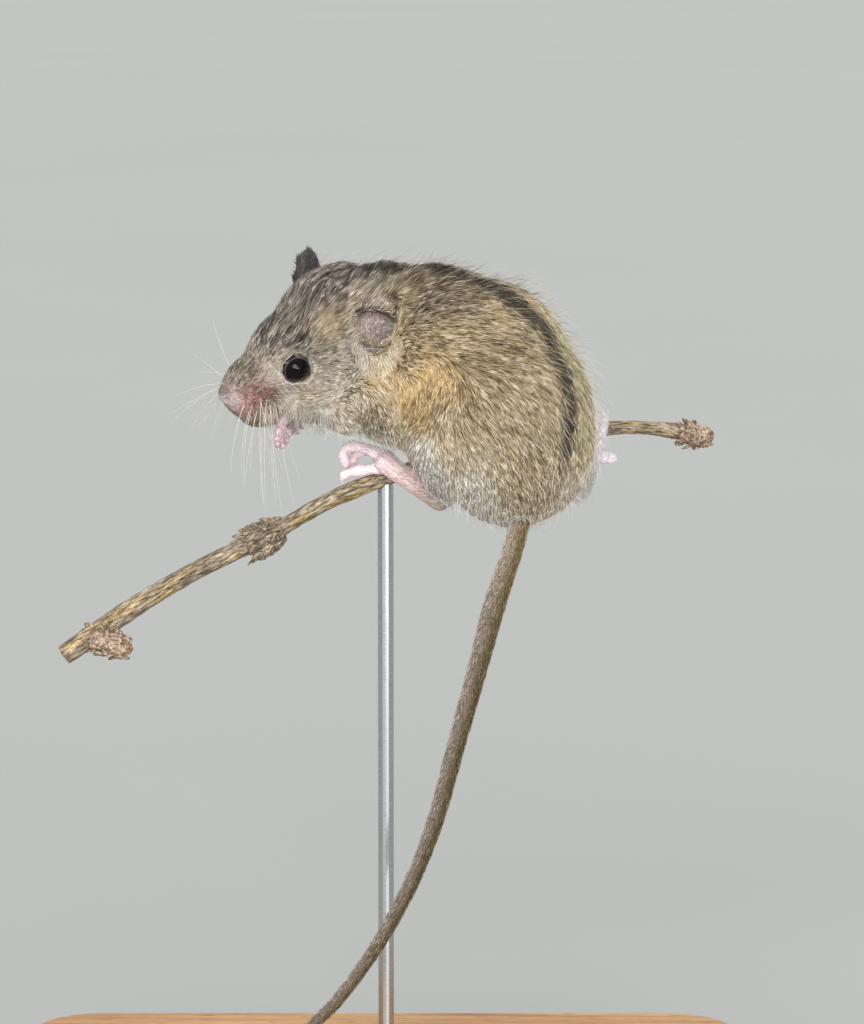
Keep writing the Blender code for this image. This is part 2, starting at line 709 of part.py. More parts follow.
twig = tube("perch_twig", twig_line, MODEL, TWIG_SIDES, FLAT)
bark = bpy.data.textures.new("bark", "CLOUDS")
bark.noise_scale = BARK_SCALE * MM
ripple = twig.modifiers.new("bark", "DISPLACE")
ripple.texture = bark
ripple.texture_coords = "GLOBAL"
ripple.strength = BARK_DEPTH * MM
settle(twig)
end_bud_at = Vector(TWIG_ROUTE[-1][:3]) + Vector(END_BUD_OFF)
side_bud_at = twig_at(SIDE_BUD_AT) + Vector(SIDE_BUD_OFF)
buds = {
    "perch_end_bud": scaly("end_bud", end_bud_at, (1, 0.1, -0.2), END_BUD_RADII, 14, 3),
    "perch_side_bud": scaly("side_bud", side_bud_at, (0.94, -0.1, -0.3), SIDE_BUD_RADII, 16, 5),
}
for name, forms in buds.items():
    bud = melted(name, forms, 0.22, 1, 300, MODEL)
    clear_of(bud, twig)
knob_forms = scaly("knob", twig_at(KNOB_AT), (0.9, 0.1, 0.42), KNOB_RADII, 18, 11)
knob = melted("knob", knob_forms, 0.25, 1, 460, MODEL)
union("perch_twig", [twig, knob])
twig = bpy.data.objects["perch_twig"]

rounded_plate("stand_base", BASE_LENGTH, BASE_DEPTH, BASE_HEIGHT, BASE_CORNER, BASE_BEVEL)
rod_at = twig_at(ROD_X)
foot_of_rod = Vector((rod_at.x, rod_at.y, BASE_HEIGHT + GAP))
rod = cylinder("stand_rod", foot_of_rod, rod_at.z - foot_of_rod.z, ROD_RADIUS, ROD_RADIUS, 16)
clear_of(rod, twig)
collar = cylinder("stand_collar", foot_of_rod, COLLAR_HEIGHT, COLLAR_RADIUS, COLLAR_RADIUS * 0.8, 18)
clear_of(collar, rod)

# Flesh, in one piece at first: the body, and a finer skin for the head.
flesh = melted("flesh", flesh_forms(), 0.5, 30, 1900, HELPERS)
fine = melted("fine", flesh_forms() + face_forms(), 0.3, 8, 3000, HELPERS)

# Naked pieces.
tail_line = smooth_line(TAIL_ROUTE, TAIL_RINGS)
for name, start, stop in TAIL_PARTS:
    part = tail_line[start:stop + 1]
    if start:
        step = (part[1][0] - part[0][0]).normalized()
        part[0] = (part[0][0] + step * GAP, part[0][1])
    tube(name, part, MODEL, TAIL_SIDES, (False, stop == TAIL_RINGS - 1))
tail_root = bpy.data.objects["tail_root"]
eyes, ears, hind_feet, forepaws = {}, {}, {}, {}
for side, name in ((1, "left"), (-1, "right")):
    centre, aim, level = eye_parts(side)
    eyes[name] = ellipsoid("eye_" + name, Matrix.Scale(MM, 4), centre, (EYE_RADIUS,) * 3, MODEL, 3)
    ears[name] = ear("ear_" + name, side)
    forms = foot("hind_foot", HIND_INSTEPS[name], HIND_TOES[name], 0.12)
    hind_feet[name] = clear_of(melted("hind_foot_" + name, forms, 0.16, 1, 560, MODEL), twig)
    forms = foot("forepaw", FORE_PALMS[name], FORE_TOES[name], 0.06, 8)
    forepaws[name] = melted("forepaw_" + name, forms, 0.14, 1, 300, MODEL)

# Furred limbs, each cut from the flesh by its own region.
regions = []
for name in ("left", "right"):
    for upper, lower, end, above, below in (
        ("thigh_", "shank_", hind_feet[name], THIGHS[name], SHANKS[name]),
        ("upper_arm_", "forearm_", forepaws[name], UPPER_ARMS[name], FOREARMS[name]),
    ):
        high = limb_region("region_of_" + upper + name, above, REGION_MARGIN)
        low = limb_region("region_of_" + lower + name, below, REGION_MARGIN)
        regions += [high, low]
        clear_of(part_from(upper + name, flesh, high), low, end, twig)
        clear_of(part_from(lower + name, flesh, low), end, twig)

# Torso, neck and head, clear of the limbs and of one another.
rooms = [ear_room(1), ear_room(-1)]
clear_of(flesh, *rooms, gap=0)
clear_of(fine, *rooms, gap=0)
clear_of(flesh, *regions, tail_root, *hind_feet.values(), twig, *ears.values(), gap=CUT)
clear_of(fine, *regions, *forepaws.values(), *ears.values(), *eyes.values(), gap=CUT)
head_side, neck_side = half_space("head_side", *NECK_FRONT), half_space("neck_side", *NECK_BACK)
not_head = half_space("not_head", NECK_FRONT[0], -Vector(NECK_FRONT[1]))
not_neck = half_space("not_neck", NECK_BACK[0], -Vector(NECK_BACK[1]))
part_from("torso", flesh, not_neck)
neck = part_from("neck", flesh, not_head)
keep_largest(boolean(neck, "INTERSECT", neck_side))
head = part_from("head", fine, head_side)
for side in (1, -1):
    mouth = tube("mouth", head_line(MOUTH_LINE, side, 14), HELPERS, 6)
    boolean(head, "DIFFERENCE", mouth)
    f, l, u = NOSTRIL_AT
    hole = ellipsoid("nostril", HEAD, (f, l * side, u), (NOSTRIL_RADIUS,) * 3, HELPERS, 2)
    boolean(head, "DIFFERENCE", hole)
keep_largest(head)

for obj in list(HELPERS.objects):
    bpy.data.objects.remove(obj)

FINISHES = {
    "fur": material("brown_fur", "8F7A55", 0.9),
    "skin": material("pink_skin", "E3C9C9", 0.6),
    "ear": material("ear_skin", "9A8580", 0.7),
    "tail": material("tail_skin", "7A6656", 0.8),
    "eye": material("dark_eye", "0B0909", 0.05),
    "bark": material("twig_bark", "8A7D6E", 0.85),
    "wood": material("oiled_wood", "B58A5C", 0.5),
    "steel": material("satin_steel", "B9BBBD", 0.3, 1.0),
}
WORN = (
    (("head", "neck", "torso", "thigh", "shank", "upper_arm", "forearm"), "fur"),
    (("hind_foot", "forepaw"), "skin"),
    (("ear",), "ear"),
    (("tail",), "tail"),
    (("eye",), "eye"),
    (("perch",), "bark"),
    (("stand_base",), "wood"),
    (("stand_rod", "stand_collar"), "steel"),
)
for obj in MODEL.objects:
    obj.data.shade_smooth()
    obj.data.set_sharp_from_angle(angle=SHARP_ANGLE)
    for starts, finish in WORN:
        if obj.name.startswith(starts):
            obj.data.materials.clear()
            obj.data.materials.append(FINISHES[finish])
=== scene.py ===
"""The looks of a northern birch mouse on a twig, a life-size museum model on a plain stand.

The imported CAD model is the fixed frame. One skin stands for the flesh, inset by the depth of the
coat, and carries the coat as solid tapered hairs. Feet, tail, ears, eyes, claws, twig and buds are
finer pieces in the place of their CAD nodes. Tables are in millimetres, in the frame of the CAD.
"""
import json
import math
import random

import bmesh
import bpy
import numpy as np
from mathutils import Matrix, Vector, noise
from mathutils.kdtree import KDTree

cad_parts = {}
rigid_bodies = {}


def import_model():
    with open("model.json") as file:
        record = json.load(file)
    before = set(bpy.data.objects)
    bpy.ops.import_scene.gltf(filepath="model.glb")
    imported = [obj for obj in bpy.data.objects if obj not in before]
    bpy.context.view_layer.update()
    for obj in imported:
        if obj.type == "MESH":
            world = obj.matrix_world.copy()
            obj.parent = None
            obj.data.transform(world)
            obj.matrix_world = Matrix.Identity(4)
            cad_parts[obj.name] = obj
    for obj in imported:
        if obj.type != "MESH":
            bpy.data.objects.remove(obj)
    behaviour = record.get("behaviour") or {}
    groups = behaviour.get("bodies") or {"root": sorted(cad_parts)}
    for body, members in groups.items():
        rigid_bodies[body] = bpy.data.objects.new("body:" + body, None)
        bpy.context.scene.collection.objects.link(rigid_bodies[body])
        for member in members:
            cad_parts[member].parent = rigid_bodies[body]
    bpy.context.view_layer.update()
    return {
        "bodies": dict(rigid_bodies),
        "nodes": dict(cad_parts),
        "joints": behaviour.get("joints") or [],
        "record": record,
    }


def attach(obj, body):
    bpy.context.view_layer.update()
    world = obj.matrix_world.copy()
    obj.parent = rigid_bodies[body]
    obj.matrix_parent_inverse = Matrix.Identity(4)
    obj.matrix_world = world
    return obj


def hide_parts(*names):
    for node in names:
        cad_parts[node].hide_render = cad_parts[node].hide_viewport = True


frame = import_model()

MM = 0.001
NODES = frame["nodes"]
FLESH_KINDS = ("head", "neck", "torso", "thigh", "shank", "upper_arm", "forearm")
FLESH = [n for n in NODES if n.startswith(FLESH_KINDS)]
SIDES = (("left", 1), ("right", -1))

CAMERA_TARGET = Vector((6.25, 0.0, 77.0))
CAMERA_DISTANCE = 620.0
CAMERA_ELEVATION = math.radians(8.0)
CAMERA_LENS, SENSOR_WIDTH, CAMERA_CLIP = 174.4, 36.0, (0.02, 100.0)
# Lamps: turn and rise of the way to them, width, all in degrees, and strength.
LAMPS = (
    ("key", -12, 21, 36, 2.65),
    ("front_fill", 14, 5, 40, 0.7),
    ("back_rim", 150, 38, 30, 1.0),
    ("small_flash", 14, 3, 4, 0.9),
)
SKY_COLOUR, SKY_STRENGTH = "F2F4F6", 0.8


def linear(code):
    """An sRGB hex colour as linear red, green and blue."""
    channels = np.array([int(code[i:i + 2], 16) / 255 for i in (0, 2, 4)])
    return np.where(channels < 0.04045, channels / 12.92, ((channels + 0.055) / 1.055) ** 2.4)


def rgba(code):
    return (*linear(code), 1.0)


def add(tree, kind, values=(), links=(), **settings):
    """A node of a tree: settings are its properties, values fill its inputs and links feed them."""
    made = tree.nodes.new(kind)
    for key, value in settings.items():
        setattr(made, key, value)
    for key, value in dict(values).items():
        made.inputs[key].default_value = value
    for key, socket in dict(links).items():
        tree.links.new(socket, made.inputs[key])
    return made


def finish_named(name, **values):
    """A material with a Principled shader whose constants are values, and that shader and its tree."""
    made = bpy.data.materials.new(name)
    made.use_nodes = True
    tree = made.node_tree
    shader = tree.nodes["Principled BSDF"]
    for key, value in values.items():
        shader.inputs[key.replace("_", " ")].default_value = value
    return made, tree, shader


def ramp(tree, factor, *stops):
    """A colour ramp fed by factor, with stops of (place, hex colour)."""
    made = add(tree, "ShaderNodeValToRGB", links={0: factor})
    band = made.color_ramp
    while len(band.elements) < len(stops):
        band.elements.new(0.5)
    for element, (place, code) in zip(band.elements, stops):
        element.position = place
        element.color = rgba(code)
    return made.outputs[0]


def mixed(tree, factor, a, b, blend="MIX"):
    """Two colours mixed. Factor, a and b are sockets or constants."""
    made = add(tree, "ShaderNodeMix", data_type="RGBA", blend_type=blend)
    for index, value in ((0, factor), (6, a), (7, b)):
        if isinstance(value, bpy.types.NodeSocket):
            tree.links.new(value, made.inputs[index])
        else:
            made.inputs[index].default_value = value
    return made.outputs[2]


def bumped(tree, shader, height, distance, strength):
    """Bumps a shader by height, up to a distance in millimetres."""
    bump = add(tree, "ShaderNodeBump", {"Strength": strength, "Distance": distance * MM}, {"Height": height})
    tree.links.new(bump.outputs[0], shader.inputs["Normal"])


def noise_on(tree, vector, scale, detail, roughness=0.5):
    values = {"Scale": scale, "Detail": detail, "Roughness": roughness}
    return add(tree, "ShaderNodeTexNoise", values, {"Vector": vector}).outputs["Fac"]


def object_noise(tree, size, detail, stretch=(1, 1, 1)):
    """Noise on object coordinates with grains size millimetres wide, drawn out by stretch."""
    where = add(tree, "ShaderNodeTexCoord").outputs["Object"]
    scale = [1 / (size * MM * s) for s in stretch]
    turned = add(tree, "ShaderNodeMapping", {"Scale": scale}, {"Vector": where}).outputs[0]
    return noise_on(tree, turned, 1.0, detail, 0.55)


def attribute(tree, name):
    return add(tree, "ShaderNodeAttribute", attribute_name=name).outputs["Color"]


def link_colour(tree, shader, colour):
    tree.links.new(colour, shader.inputs["Base Color"])


def grained(name, grain, stops, layer=None, share=1.0, bump=None, layer_first=True, **values):
    """A material whose colour is a ramp over noise of its grain: size, detail and stretch.

    layer is a colour attribute that is multiplied with it by share, and bump the depth and
    strength with which the same noise stands out.
    """
    made, tree, shader = finish_named(name, **values)
    height = object_noise(tree, *grain)
    colour = ramp(tree, height, *stops)
    if layer:
        pair = (attribute(tree, layer), colour) if layer_first else (colour, attribute(tree, layer))
        colour = mixed(tree, share, *pair, "MULTIPLY")
    link_colour(tree, shader, colour)
    if bump:
        bumped(tree, shader, height, *bump)
    return made


def naked(name, pale, deep, grain, bump, roughness, glow, shade=None):
    """Bare living skin: light enters it, and fine wrinkles break its soft gloss."""
    made, tree, shader = finish_named(name, Roughness=roughness, Specular_IOR_Level=0.5,
                                      Subsurface_Weight=glow, Subsurface_Scale=0.6 * MM)
    shader.inputs["Subsurface Radius"].default_value = (1.0, 0.45, 0.3)
    tone = ramp(tree, object_noise(tree, 1.3, 3.0), (0.32, deep), (0.66, pale))
    # shade names a colour attribute multiplied into the colour: a tint from heel to toe on the feet, painted
    # shade on the ears.
    link_colour(tree, shader, mixed(tree, 1.0, tone, attribute(tree, shade), "MULTIPLY") if shade else tone)
    where = add(tree, "ShaderNodeTexCoord").outputs["Object"]
    cells = add(tree, "ShaderNodeTexVoronoi", {"Scale": 1 / (grain * MM)}, {"Vector": where})
    bumped(tree, shader, cells.outputs["Distance"], bump, 0.8)
    return made


def young_bark():
    """Thin young bark: grey-brown with fine cracks and ochre streaks that run along the twig."""
    made, tree, shader = finish_named("young_bark", Roughness=0.8, Specular_IOR_Level=0.3)
    place = add(tree, "ShaderNodeAttribute", attribute_name="grain")
    crack = noise_on(tree, place.outputs["Color"], 4.6, 5.0, 0.62)
    broad = noise_on(tree, place.outputs["Color"], 1.1, 3.0)
    tone = ramp(tree, crack, (0.34, "383128"), (0.45, "746A5C"), (0.55, "A59A88"), (0.68, "DACFBA"))
    ochre = ramp(tree, crack, (0.34, "50431F"), (0.5, "B2934A"), (0.66, "E2CC90"))
    patch = ramp(tree, broad, (0.53, "000000"), (0.66, "D0D0D0"))
    links = {0: patch, 1: place.outputs["Alpha"]}
    share = add(tree, "ShaderNodeMath", links=links, operation="MULTIPLY").outputs[0]
    bark = mixed(tree, share, tone, ochre)
    link_colour(tree, shader, mixed(tree, 0.8, bark, attribute(tree, "bark"), "MULTIPLY"))
    bumped(tree, shader, crack, 0.16, 0.9)
    return made


def oiled_beech():
    """Oiled beech: a low sheen over fine grain that runs along the base."""
    made, tree, shader = finish_named("oiled_beech", Roughness=0.68, Specular_IOR_Level=0.3)
    grain = object_noise(tree, 1.6, 5.0, (14.0, 1.0, 1.0))
    pore = object_noise(tree, 0.35, 2.0, (9.0, 1.0, 1.0))
    tone = ramp(tree, grain, (0.30, "9C7148"), (0.5, "B58A5C"), (0.72, "C9A273"))
    dark = ramp(tree, pore, (0.30, "B09A84"), (0.45, "FFFFFF"))
    link_colour(tree, shader, mixed(tree, 0.8, tone, dark, "MULTIPLY"))
    bumped(tree, shader, pore, 0.05, 0.5)
    return made


KERATIN = ((0.8, 2.0), ((0.3, "D8D2C8"), (0.7, "FFFFFF")), "coat")
FINISH = {
    "skin": grained("furred_skin", (0.16, 2.0), ((0.35, "9A948C"), (0.65, "FFFFFF")), "coat", 0.8,
                    (0.12, 0.7), Roughness=0.75, Specular_IOR_Level=0.25),
    "coat": grained("hair_keratin", *KERATIN, Roughness=0.55, Specular_IOR_Level=0.35),
    "whisker": grained("whisker_keratin", *KERATIN, Roughness=0.4, Specular_IOR_Level=0.35),
    "foot": naked("pink_foot_skin", "FBF1F4", "EFD5DC", 0.32, 0.06, 0.42, 0.3, "shade"),
    "ear": naked("thin_ear_skin", "C2B2AB", "7C6C69", 0.3, 0.05, 0.55, 0.25, "shade"),
    "lid": naked("lid_margin_skin", "3C3238", "17121A", 0.2, 0.06, 0.6, 0.1),
    "tail": grained("ringed_tail_skin", (0.25, 3.0), ((0.35, "8C8078"), (0.65, "FFFFFF")), "coat", 0.9,
                    (0.08, 0.6), Roughness=0.6, Specular_IOR_Level=0.4),
    "eye": grained("moist_eye", (1.2, 2.0), ((0.4, "030303"), (0.7, "080606")), Roughness=0.02,
                   IOR=1.336, Specular_IOR_Level=0.36),
    "claw": grained("pale_claw_horn", (0.5, 2.0), ((0.3, "D8BFB4"), (0.7, "EFE6DC")), Roughness=0.3,
                    Specular_IOR_Level=0.5, Subsurface_Weight=0.3, Subsurface_Scale=0.3 * MM),
    "bark": young_bark(),
    "bud": grained("bud_scales", (0.4, 4.0),
                   ((0.30, "4A3E36"), (0.44, "8A7A6C"), (0.56, "B5A594"), (0.70, "E6DBD0")),
                   "bark", 0.8, (0.12, 0.8), False, Roughness=0.85, Specular_IOR_Level=0.25),
    "wood": oiled_beech(),
    "steel": grained("satin_steel", (0.12, 2.0, (6.0, 6.0, 1.0)), ((0.3, "A9ABAD"), (0.7, "C6C8CA")),
                     bump=(0.01, 0.3), Metallic=1.0, Roughness=0.3),
    "paper": grained("pale_studio_paper", (220.0, 2.0), ((0.3, "ABACA9"), (0.7, "ADAEAB")),
                     Roughness=0.9, Specular_IOR_Level=0.2),
}


def linked(name, data):
    obj = bpy.data.objects.new(name, data)
    bpy.context.collection.objects.link(obj)
    return obj


def camera_and_light():
    out = Vector((0, -math.cos(CAMERA_ELEVATION), math.sin(CAMERA_ELEVATION)))
    lens = bpy.data.cameras.new("camera")
    lens.lens, lens.sensor_width = CAMERA_LENS, SENSOR_WIDTH
    lens.clip_start, lens.clip_end = CAMERA_CLIP
    camera = linked("camera", lens)
    camera.location = (CAMERA_TARGET + out * CAMERA_DISTANCE) * MM
    camera.rotation_euler = (-out).to_track_quat("-Z", "Y").to_euler()
    bpy.context.scene.camera = camera
    for name, turn, rise, wide, strength in LAMPS:
        turn, rise = math.radians(turn), math.radians(rise)
        towards = Vector((math.sin(turn) * math.cos(rise), -math.cos(turn) * math.cos(rise), math.sin(rise)))
        lamp = bpy.data.lights.new(name, "SUN")
        lamp.energy = strength
        lamp.angle = math.radians(wide)
        linked(name, lamp).rotation_euler = towards.to_track_quat("Z", "Y").to_euler()
    world = bpy.data.worlds.new("soft_white")
    world.use_nodes = True
    sky = world.node_tree.nodes["Background"]
    sky.inputs["Color"].default_value = rgba(SKY_COLOUR)
    sky.inputs["Strength"].default_value = SKY_STRENGTH
    bpy.context.scene.world = world
    bpy.context.scene.view_settings.view_transform = "Standard"
    bm = bmesh.new()
    bmesh.ops.create_grid(bm, x_segments=8, y_segments=8, size=15.0)
    mesh = bpy.data.meshes.new("floor")
    bm.to_mesh(mesh)
    bm.free()
    floor = placed_object("floor", mesh, "paper")


def placed_object(name, mesh, finish):
    obj = linked(name, mesh)
    obj.data.materials.clear()
    obj.data.materials.append(FINISH[finish])
    return obj


def solid(name, points, faces, finish):
    """A smooth object from points in millimetres and faces of one size, as arrays."""
    mesh = bpy.data.meshes.new(name)
    mesh.vertices.add(len(points))
    mesh.vertices.foreach_set("co", (points * MM).astype(np.float32).ravel())
    mesh.loops.add(faces.size)
    mesh.loops.foreach_set("vertex_index", faces.astype(np.int32).ravel())
    mesh.polygons.add(len(faces))
    mesh.polygons.foreach_set("loop_start", np.arange(0, faces.size, faces.shape[1], dtype=np.int32))
    mesh.polygons.foreach_set("use_smooth", np.full(len(faces), True))
    mesh.update(calc_edges=True)
    return placed_object(name, mesh, finish)


def from_bmesh(name, bm, finish):
    bmesh.ops.recalc_face_normals(bm, faces=bm.faces)
    mesh = bpy.data.meshes.new(name)
    bm.to_mesh(mesh)
    bm.free()
    mesh.shade_smooth()
    return placed_object(name, mesh, finish)


def settle(obj):
    """Replaces obj's mesh by what its modifiers give, and removes them."""
    bpy.context.view_layer.update()
    graph = bpy.context.evaluated_depsgraph_get()
    mesh = bpy.data.meshes.new_from_object(obj.evaluated_get(graph))
    obj.modifiers.clear()
    obj.data = mesh


def add_melt(obj, voxel):
    melt = obj.modifiers.new("melt", "REMESH")
    melt.mode = "VOXEL"
    melt.voxel_size = voxel * MM


def add_soften(obj, rounds, group=""):
    soften = obj.modifiers.new("soften", "SMOOTH")
    soften.vertex_group = group
    soften.factor = 0.5
    soften.iterations = rounds


def read(items, key, width, kind=np.float32):
    """One property of all items, as rows of width numbers."""
    out = np.empty(len(items) * width, kind)
    items.foreach_get(key, out)
    return out.reshape(-1, width)


def points_of(obj):
    return read(obj.data.vertices, "co", 3).astype(float) / MM


def normals_of(obj):
    return read(obj.data.vertex_normals, "vector", 3).astype(float)


def set_points(obj, points):
    obj.data.vertices.foreach_set("co", (points * MM).astype(np.float32).ravel())
    obj.data.update()


def set_colour(obj, name, colours):
    layer = obj.data.color_attributes.new(name, "FLOAT_COLOR", "POINT")
    full = np.ones((len(colours), 4), np.float32)
    full[:, :colours.shape[1]] = colours
    layer.data.foreach_set("color", full.ravel())


def to_root(obj, slot, *nodes):
    """Rides the body and stands for CAD nodes, which it hides. slot is not used."""
    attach(obj, "root")
    if nodes:
        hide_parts(*nodes)


def unit(v):
    return v / np.maximum(np.linalg.norm(v, axis=-1, keepdims=True), 1e-9)


def clamp(share):
    return np.clip(share, 0, 1)


def blend(a, b, share):
    return a * (1 - share) + b * share


def gauss(distance, width):
    return np.exp(-(distance / width) ** 2)


def oval(points, centre, radii):
    """How far points lie from an oval's centre, 1 at its surface."""
    return np.linalg.norm((points - centre) / radii, axis=1)


def nearest(line, points):
    """The number of the line's place that is nearest to each point."""
    return np.array([((line - p) ** 2).sum(1).argmin() for p in points])


def length_along(places):
    return np.concatenate([[0], np.cumsum(np.linalg.norm(np.diff(places, axis=0), axis=1))])


def smooth_line(route, count):
    """count points, as arrays of places and radii, along a Catmull-Rom curve through the route."""
    table = np.array([p[:4] for p in route], float)
    table = np.vstack([2 * table[0] - table[1], table, 2 * table[-1] - table[-2]])
    table[0, 3], table[-1, 3] = table[1, 3], table[-2, 3]
    at = np.linspace(0, len(route) - 1, count)
    k = np.minimum(at.astype(int), len(route) - 2)
    t = (at - k)[:, None]
    a, b, c, d = (table[k + i] for i in range(4))
    square, cube = 2 * a - 5 * b + 4 * c - d, 3 * b - a - 3 * c + d
    line = 0.5 * (2 * b + (c - a) * t + square * t ** 2 + cube * t ** 3)
    return line[:, :3], blend(b, c, t)[:, 3]


def frames_along(places):
    """Side and up at each point of a line, without twist."""
    tangent = unit(np.gradient(places, axis=0))
    side = np.zeros_like(tangent)
    start = np.cross(tangent[0], (0.0, 0.0, 1.0))
    if np.linalg.norm(start) < 0.1:
        start = np.cross(tangent[0], (0.0, 1.0, 0.0))
    side[0] = unit(start)
    for i in range(1, len(places)):
        side[i] = unit(side[i - 1] - tangent[i] * (side[i - 1] @ tangent[i]))
    return side, np.cross(side, tangent)


def ring_quads(rows, sides):
    """Faces between rows of rings that have the same number of points."""
    i, j = np.meshgrid(np.arange(rows - 1), np.arange(sides), indexing="ij")
    k = (j + 1) % sides
    corners = [i * sides + k, (i + 1) * sides + k, (i + 1) * sides + j, i * sides + j]
    return np.stack(corners, -1).reshape(-1, 4)


def tube_arrays(places, radii, sides, flat=1.0):
    """Points and faces of an open tube along places."""
    side, up = frames_along(places)
    turn = np.arange(sides) * 2 * math.pi / sides
    ring = np.cos(turn)[None, :, None] * side[:, None] + np.sin(turn)[None, :, None] * up[:, None] * flat
    points = (places[:, None] + ring * np.asarray(radii)[:, None, None]).reshape(-1, 3)
    return points, ring_quads(len(places), sides)


def add_faces(bm, points, faces):
    """Adds points, in millimetres, and faces to bm and returns the new vertices."""
    verts = [bm.verts.new(p * MM) for p in points]
    for face in faces:
        bm.faces.new([verts[i] for i in face])
    return verts


def add_tube(bm, places, radii, sides, flat=1.0):
    """Adds a closed tube with domed ends to bm."""
    def cap(end, inner, radius):
        out = unit(end - inner) * radius
        return [end + out * 0.5, end + out * 0.85, end + out], [radius * 0.85, radius * 0.5, radius * 0.02]
    head, head_r = cap(places[0], places[1], radii[0])
    tail, tail_r = cap(places[-1], places[-2], radii[-1])
    places = np.vstack([head[::-1], places, tail])
    radii = np.concatenate([head_r[::-1], radii, tail_r])
    verts = add_faces(bm, *tube_arrays(places, radii, sides, flat))
    for ring in (verts[:sides], verts[-sides:]):
        bmesh.ops.pointmerge(bm, verts=ring, merge_co=sum((v.co for v in ring), Vector()) / sides)


def add_ball(bm, matrix, centre, radii, detail=3):
    """Adds an oval ball to bm. The matrix and centre are in millimetres."""
    shape = Matrix.Scale(MM, 4) @ matrix @ Matrix.Translation(centre) @ Matrix.Diagonal((*radii, 1))
    bmesh.ops.create_icosphere(bm, subdivisions=detail, radius=1.0, matrix=shape)


def melted(name, bm, voxel, smoothing, finish):
    """One closed body from the overlapping shapes in bm."""
    obj = from_bmesh(name, bm, finish)
    add_melt(obj, voxel)
    add_soften(obj, smoothing)
    settle(obj)
    obj.data.shade_smooth()
    keep_largest(obj)
    return obj


def keep_largest(obj):
    """Removes all but the largest connected part of obj."""
    bm = bmesh.new()
    bm.from_mesh(obj.data)
    left, groups = set(bm.verts), []
    while left:
        found = {left.pop()}
        edge = list(found)
        while edge:
            vert = edge.pop()
            for link in vert.link_edges:
                other = link.other_vert(vert)
                if other not in found:
                    found.add(other)
                    edge.append(other)
        left -= found
        groups.append(found)
    groups.sort(key=len)
    scrap = [v for group in groups[:-1] for v in group]
    if scrap:
        bmesh.ops.delete(bm, geom=scrap, context="VERTS")
        bm.to_mesh(obj.data)
        obj.data.shade_smooth()
    bm.free()


UNWRAP_ANGLE, UNWRAP_GAP = math.radians(66), 0.003


def unwrapped(obj):
    """Gives obj the UV map OFBake, an unwrap of its own shape."""
    for layer in list(obj.data.uv_layers):
        obj.data.uv_layers.remove(layer)
    obj.data.uv_layers.new(name="OFBake")
    bpy.context.view_layer.objects.active = obj
    for other in bpy.context.selected_objects:
        other.select_set(False)
    obj.select_set(True)
    bpy.ops.object.mode_set(mode="EDIT")
    bpy.ops.mesh.select_all(action="SELECT")
    bpy.ops.uv.smart_project(angle_limit=UNWRAP_ANGLE, island_margin=UNWRAP_GAP)
    bpy.ops.object.mode_set(mode="OBJECT")
    obj.select_set(False)
    return obj


def search_tree(points, chosen):
    """A tree that finds the nearest of the chosen points."""
    tree = KDTree(len(chosen))
    for i in chosen:
        tree.insert(points[i], int(i))
    tree.balance()
    return tree


def tree_nearest(tree, points):
    return np.array([tree.find(p)[1] for p in points])


def kept(root, keep):
    """The roots (points, normals, uv) for which keep is true."""
    return tuple(column[keep] for column in root)


class Surface:
    """A piece's triangles, to set roots on: corner points, normals and the OFBake places."""

    def __init__(self, obj):
        mesh = obj.data
        mesh.calc_loop_triangles()
        self.verts = read(mesh.loop_triangles, "vertices", 3, np.int32)
        self.points, self.normals = points_of(obj), normals_of(obj)
        loops = read(mesh.loop_triangles, "loops", 3, np.int32)
        self.uv = read(mesh.uv_layers["OFBake"].data, "uv", 2)[loops]
        corner = self.points[self.verts]
        self.middle = corner.mean(1)
        edges = corner[:, 1:] - corner[:, :1]
        self.area = np.linalg.norm(np.cross(edges[:, 0], edges[:, 1]), axis=1) / 2
        self.tree = search_tree(self.points, range(len(self.points)))

    def roots(self, count, rng, weight=None):
        """count random roots as (points, normals, uv). weight is a share for each triangle."""
        edge = np.cumsum(self.area if weight is None else self.area * weight)
        pick = np.searchsorted(edge, (np.arange(count) + rng.random(count)) / count * edge[-1])
        pick = np.minimum(pick, len(edge) - 1)
        a, b = rng.random(count), rng.random(count)
        over = a + b > 1
        a[over], b[over] = 1 - a[over], 1 - b[over]
        mix = np.stack([1 - a - b, a, b], 1)[:, :, None]
        tri = self.verts[pick]
        return (
            (self.points[tri] * mix).sum(1),
            unit((self.normals[tri] * mix).sum(1)),
            (self.uv[pick] * mix).sum(1),
        )

    def raised(self, points, height):
        """points moved to stand height above the nearest place of the surface."""
        near = tree_nearest(self.tree, points)
        normal = self.normals[near]
        level = ((points - self.points[near]) * normal).sum(1)
        return points + normal * (height - level)[:, None]


HAIR_SINK = 0.06                            # how deep a hair starts below its root
HAIR_WIDE, HAIR_THICK = 1.15, 0.8           # a hair's section, against its radius
HAIR_TAPER = np.array([1.0, 0.95, 0.7, 0.5])
HAIR_TURNS = np.array([0.5, 7 / 6, 11 / 6]) * math.pi
PATCH, PATCH_END = 0.0013, 0.0009           # a hair's own place in OFBake: half width, last ring


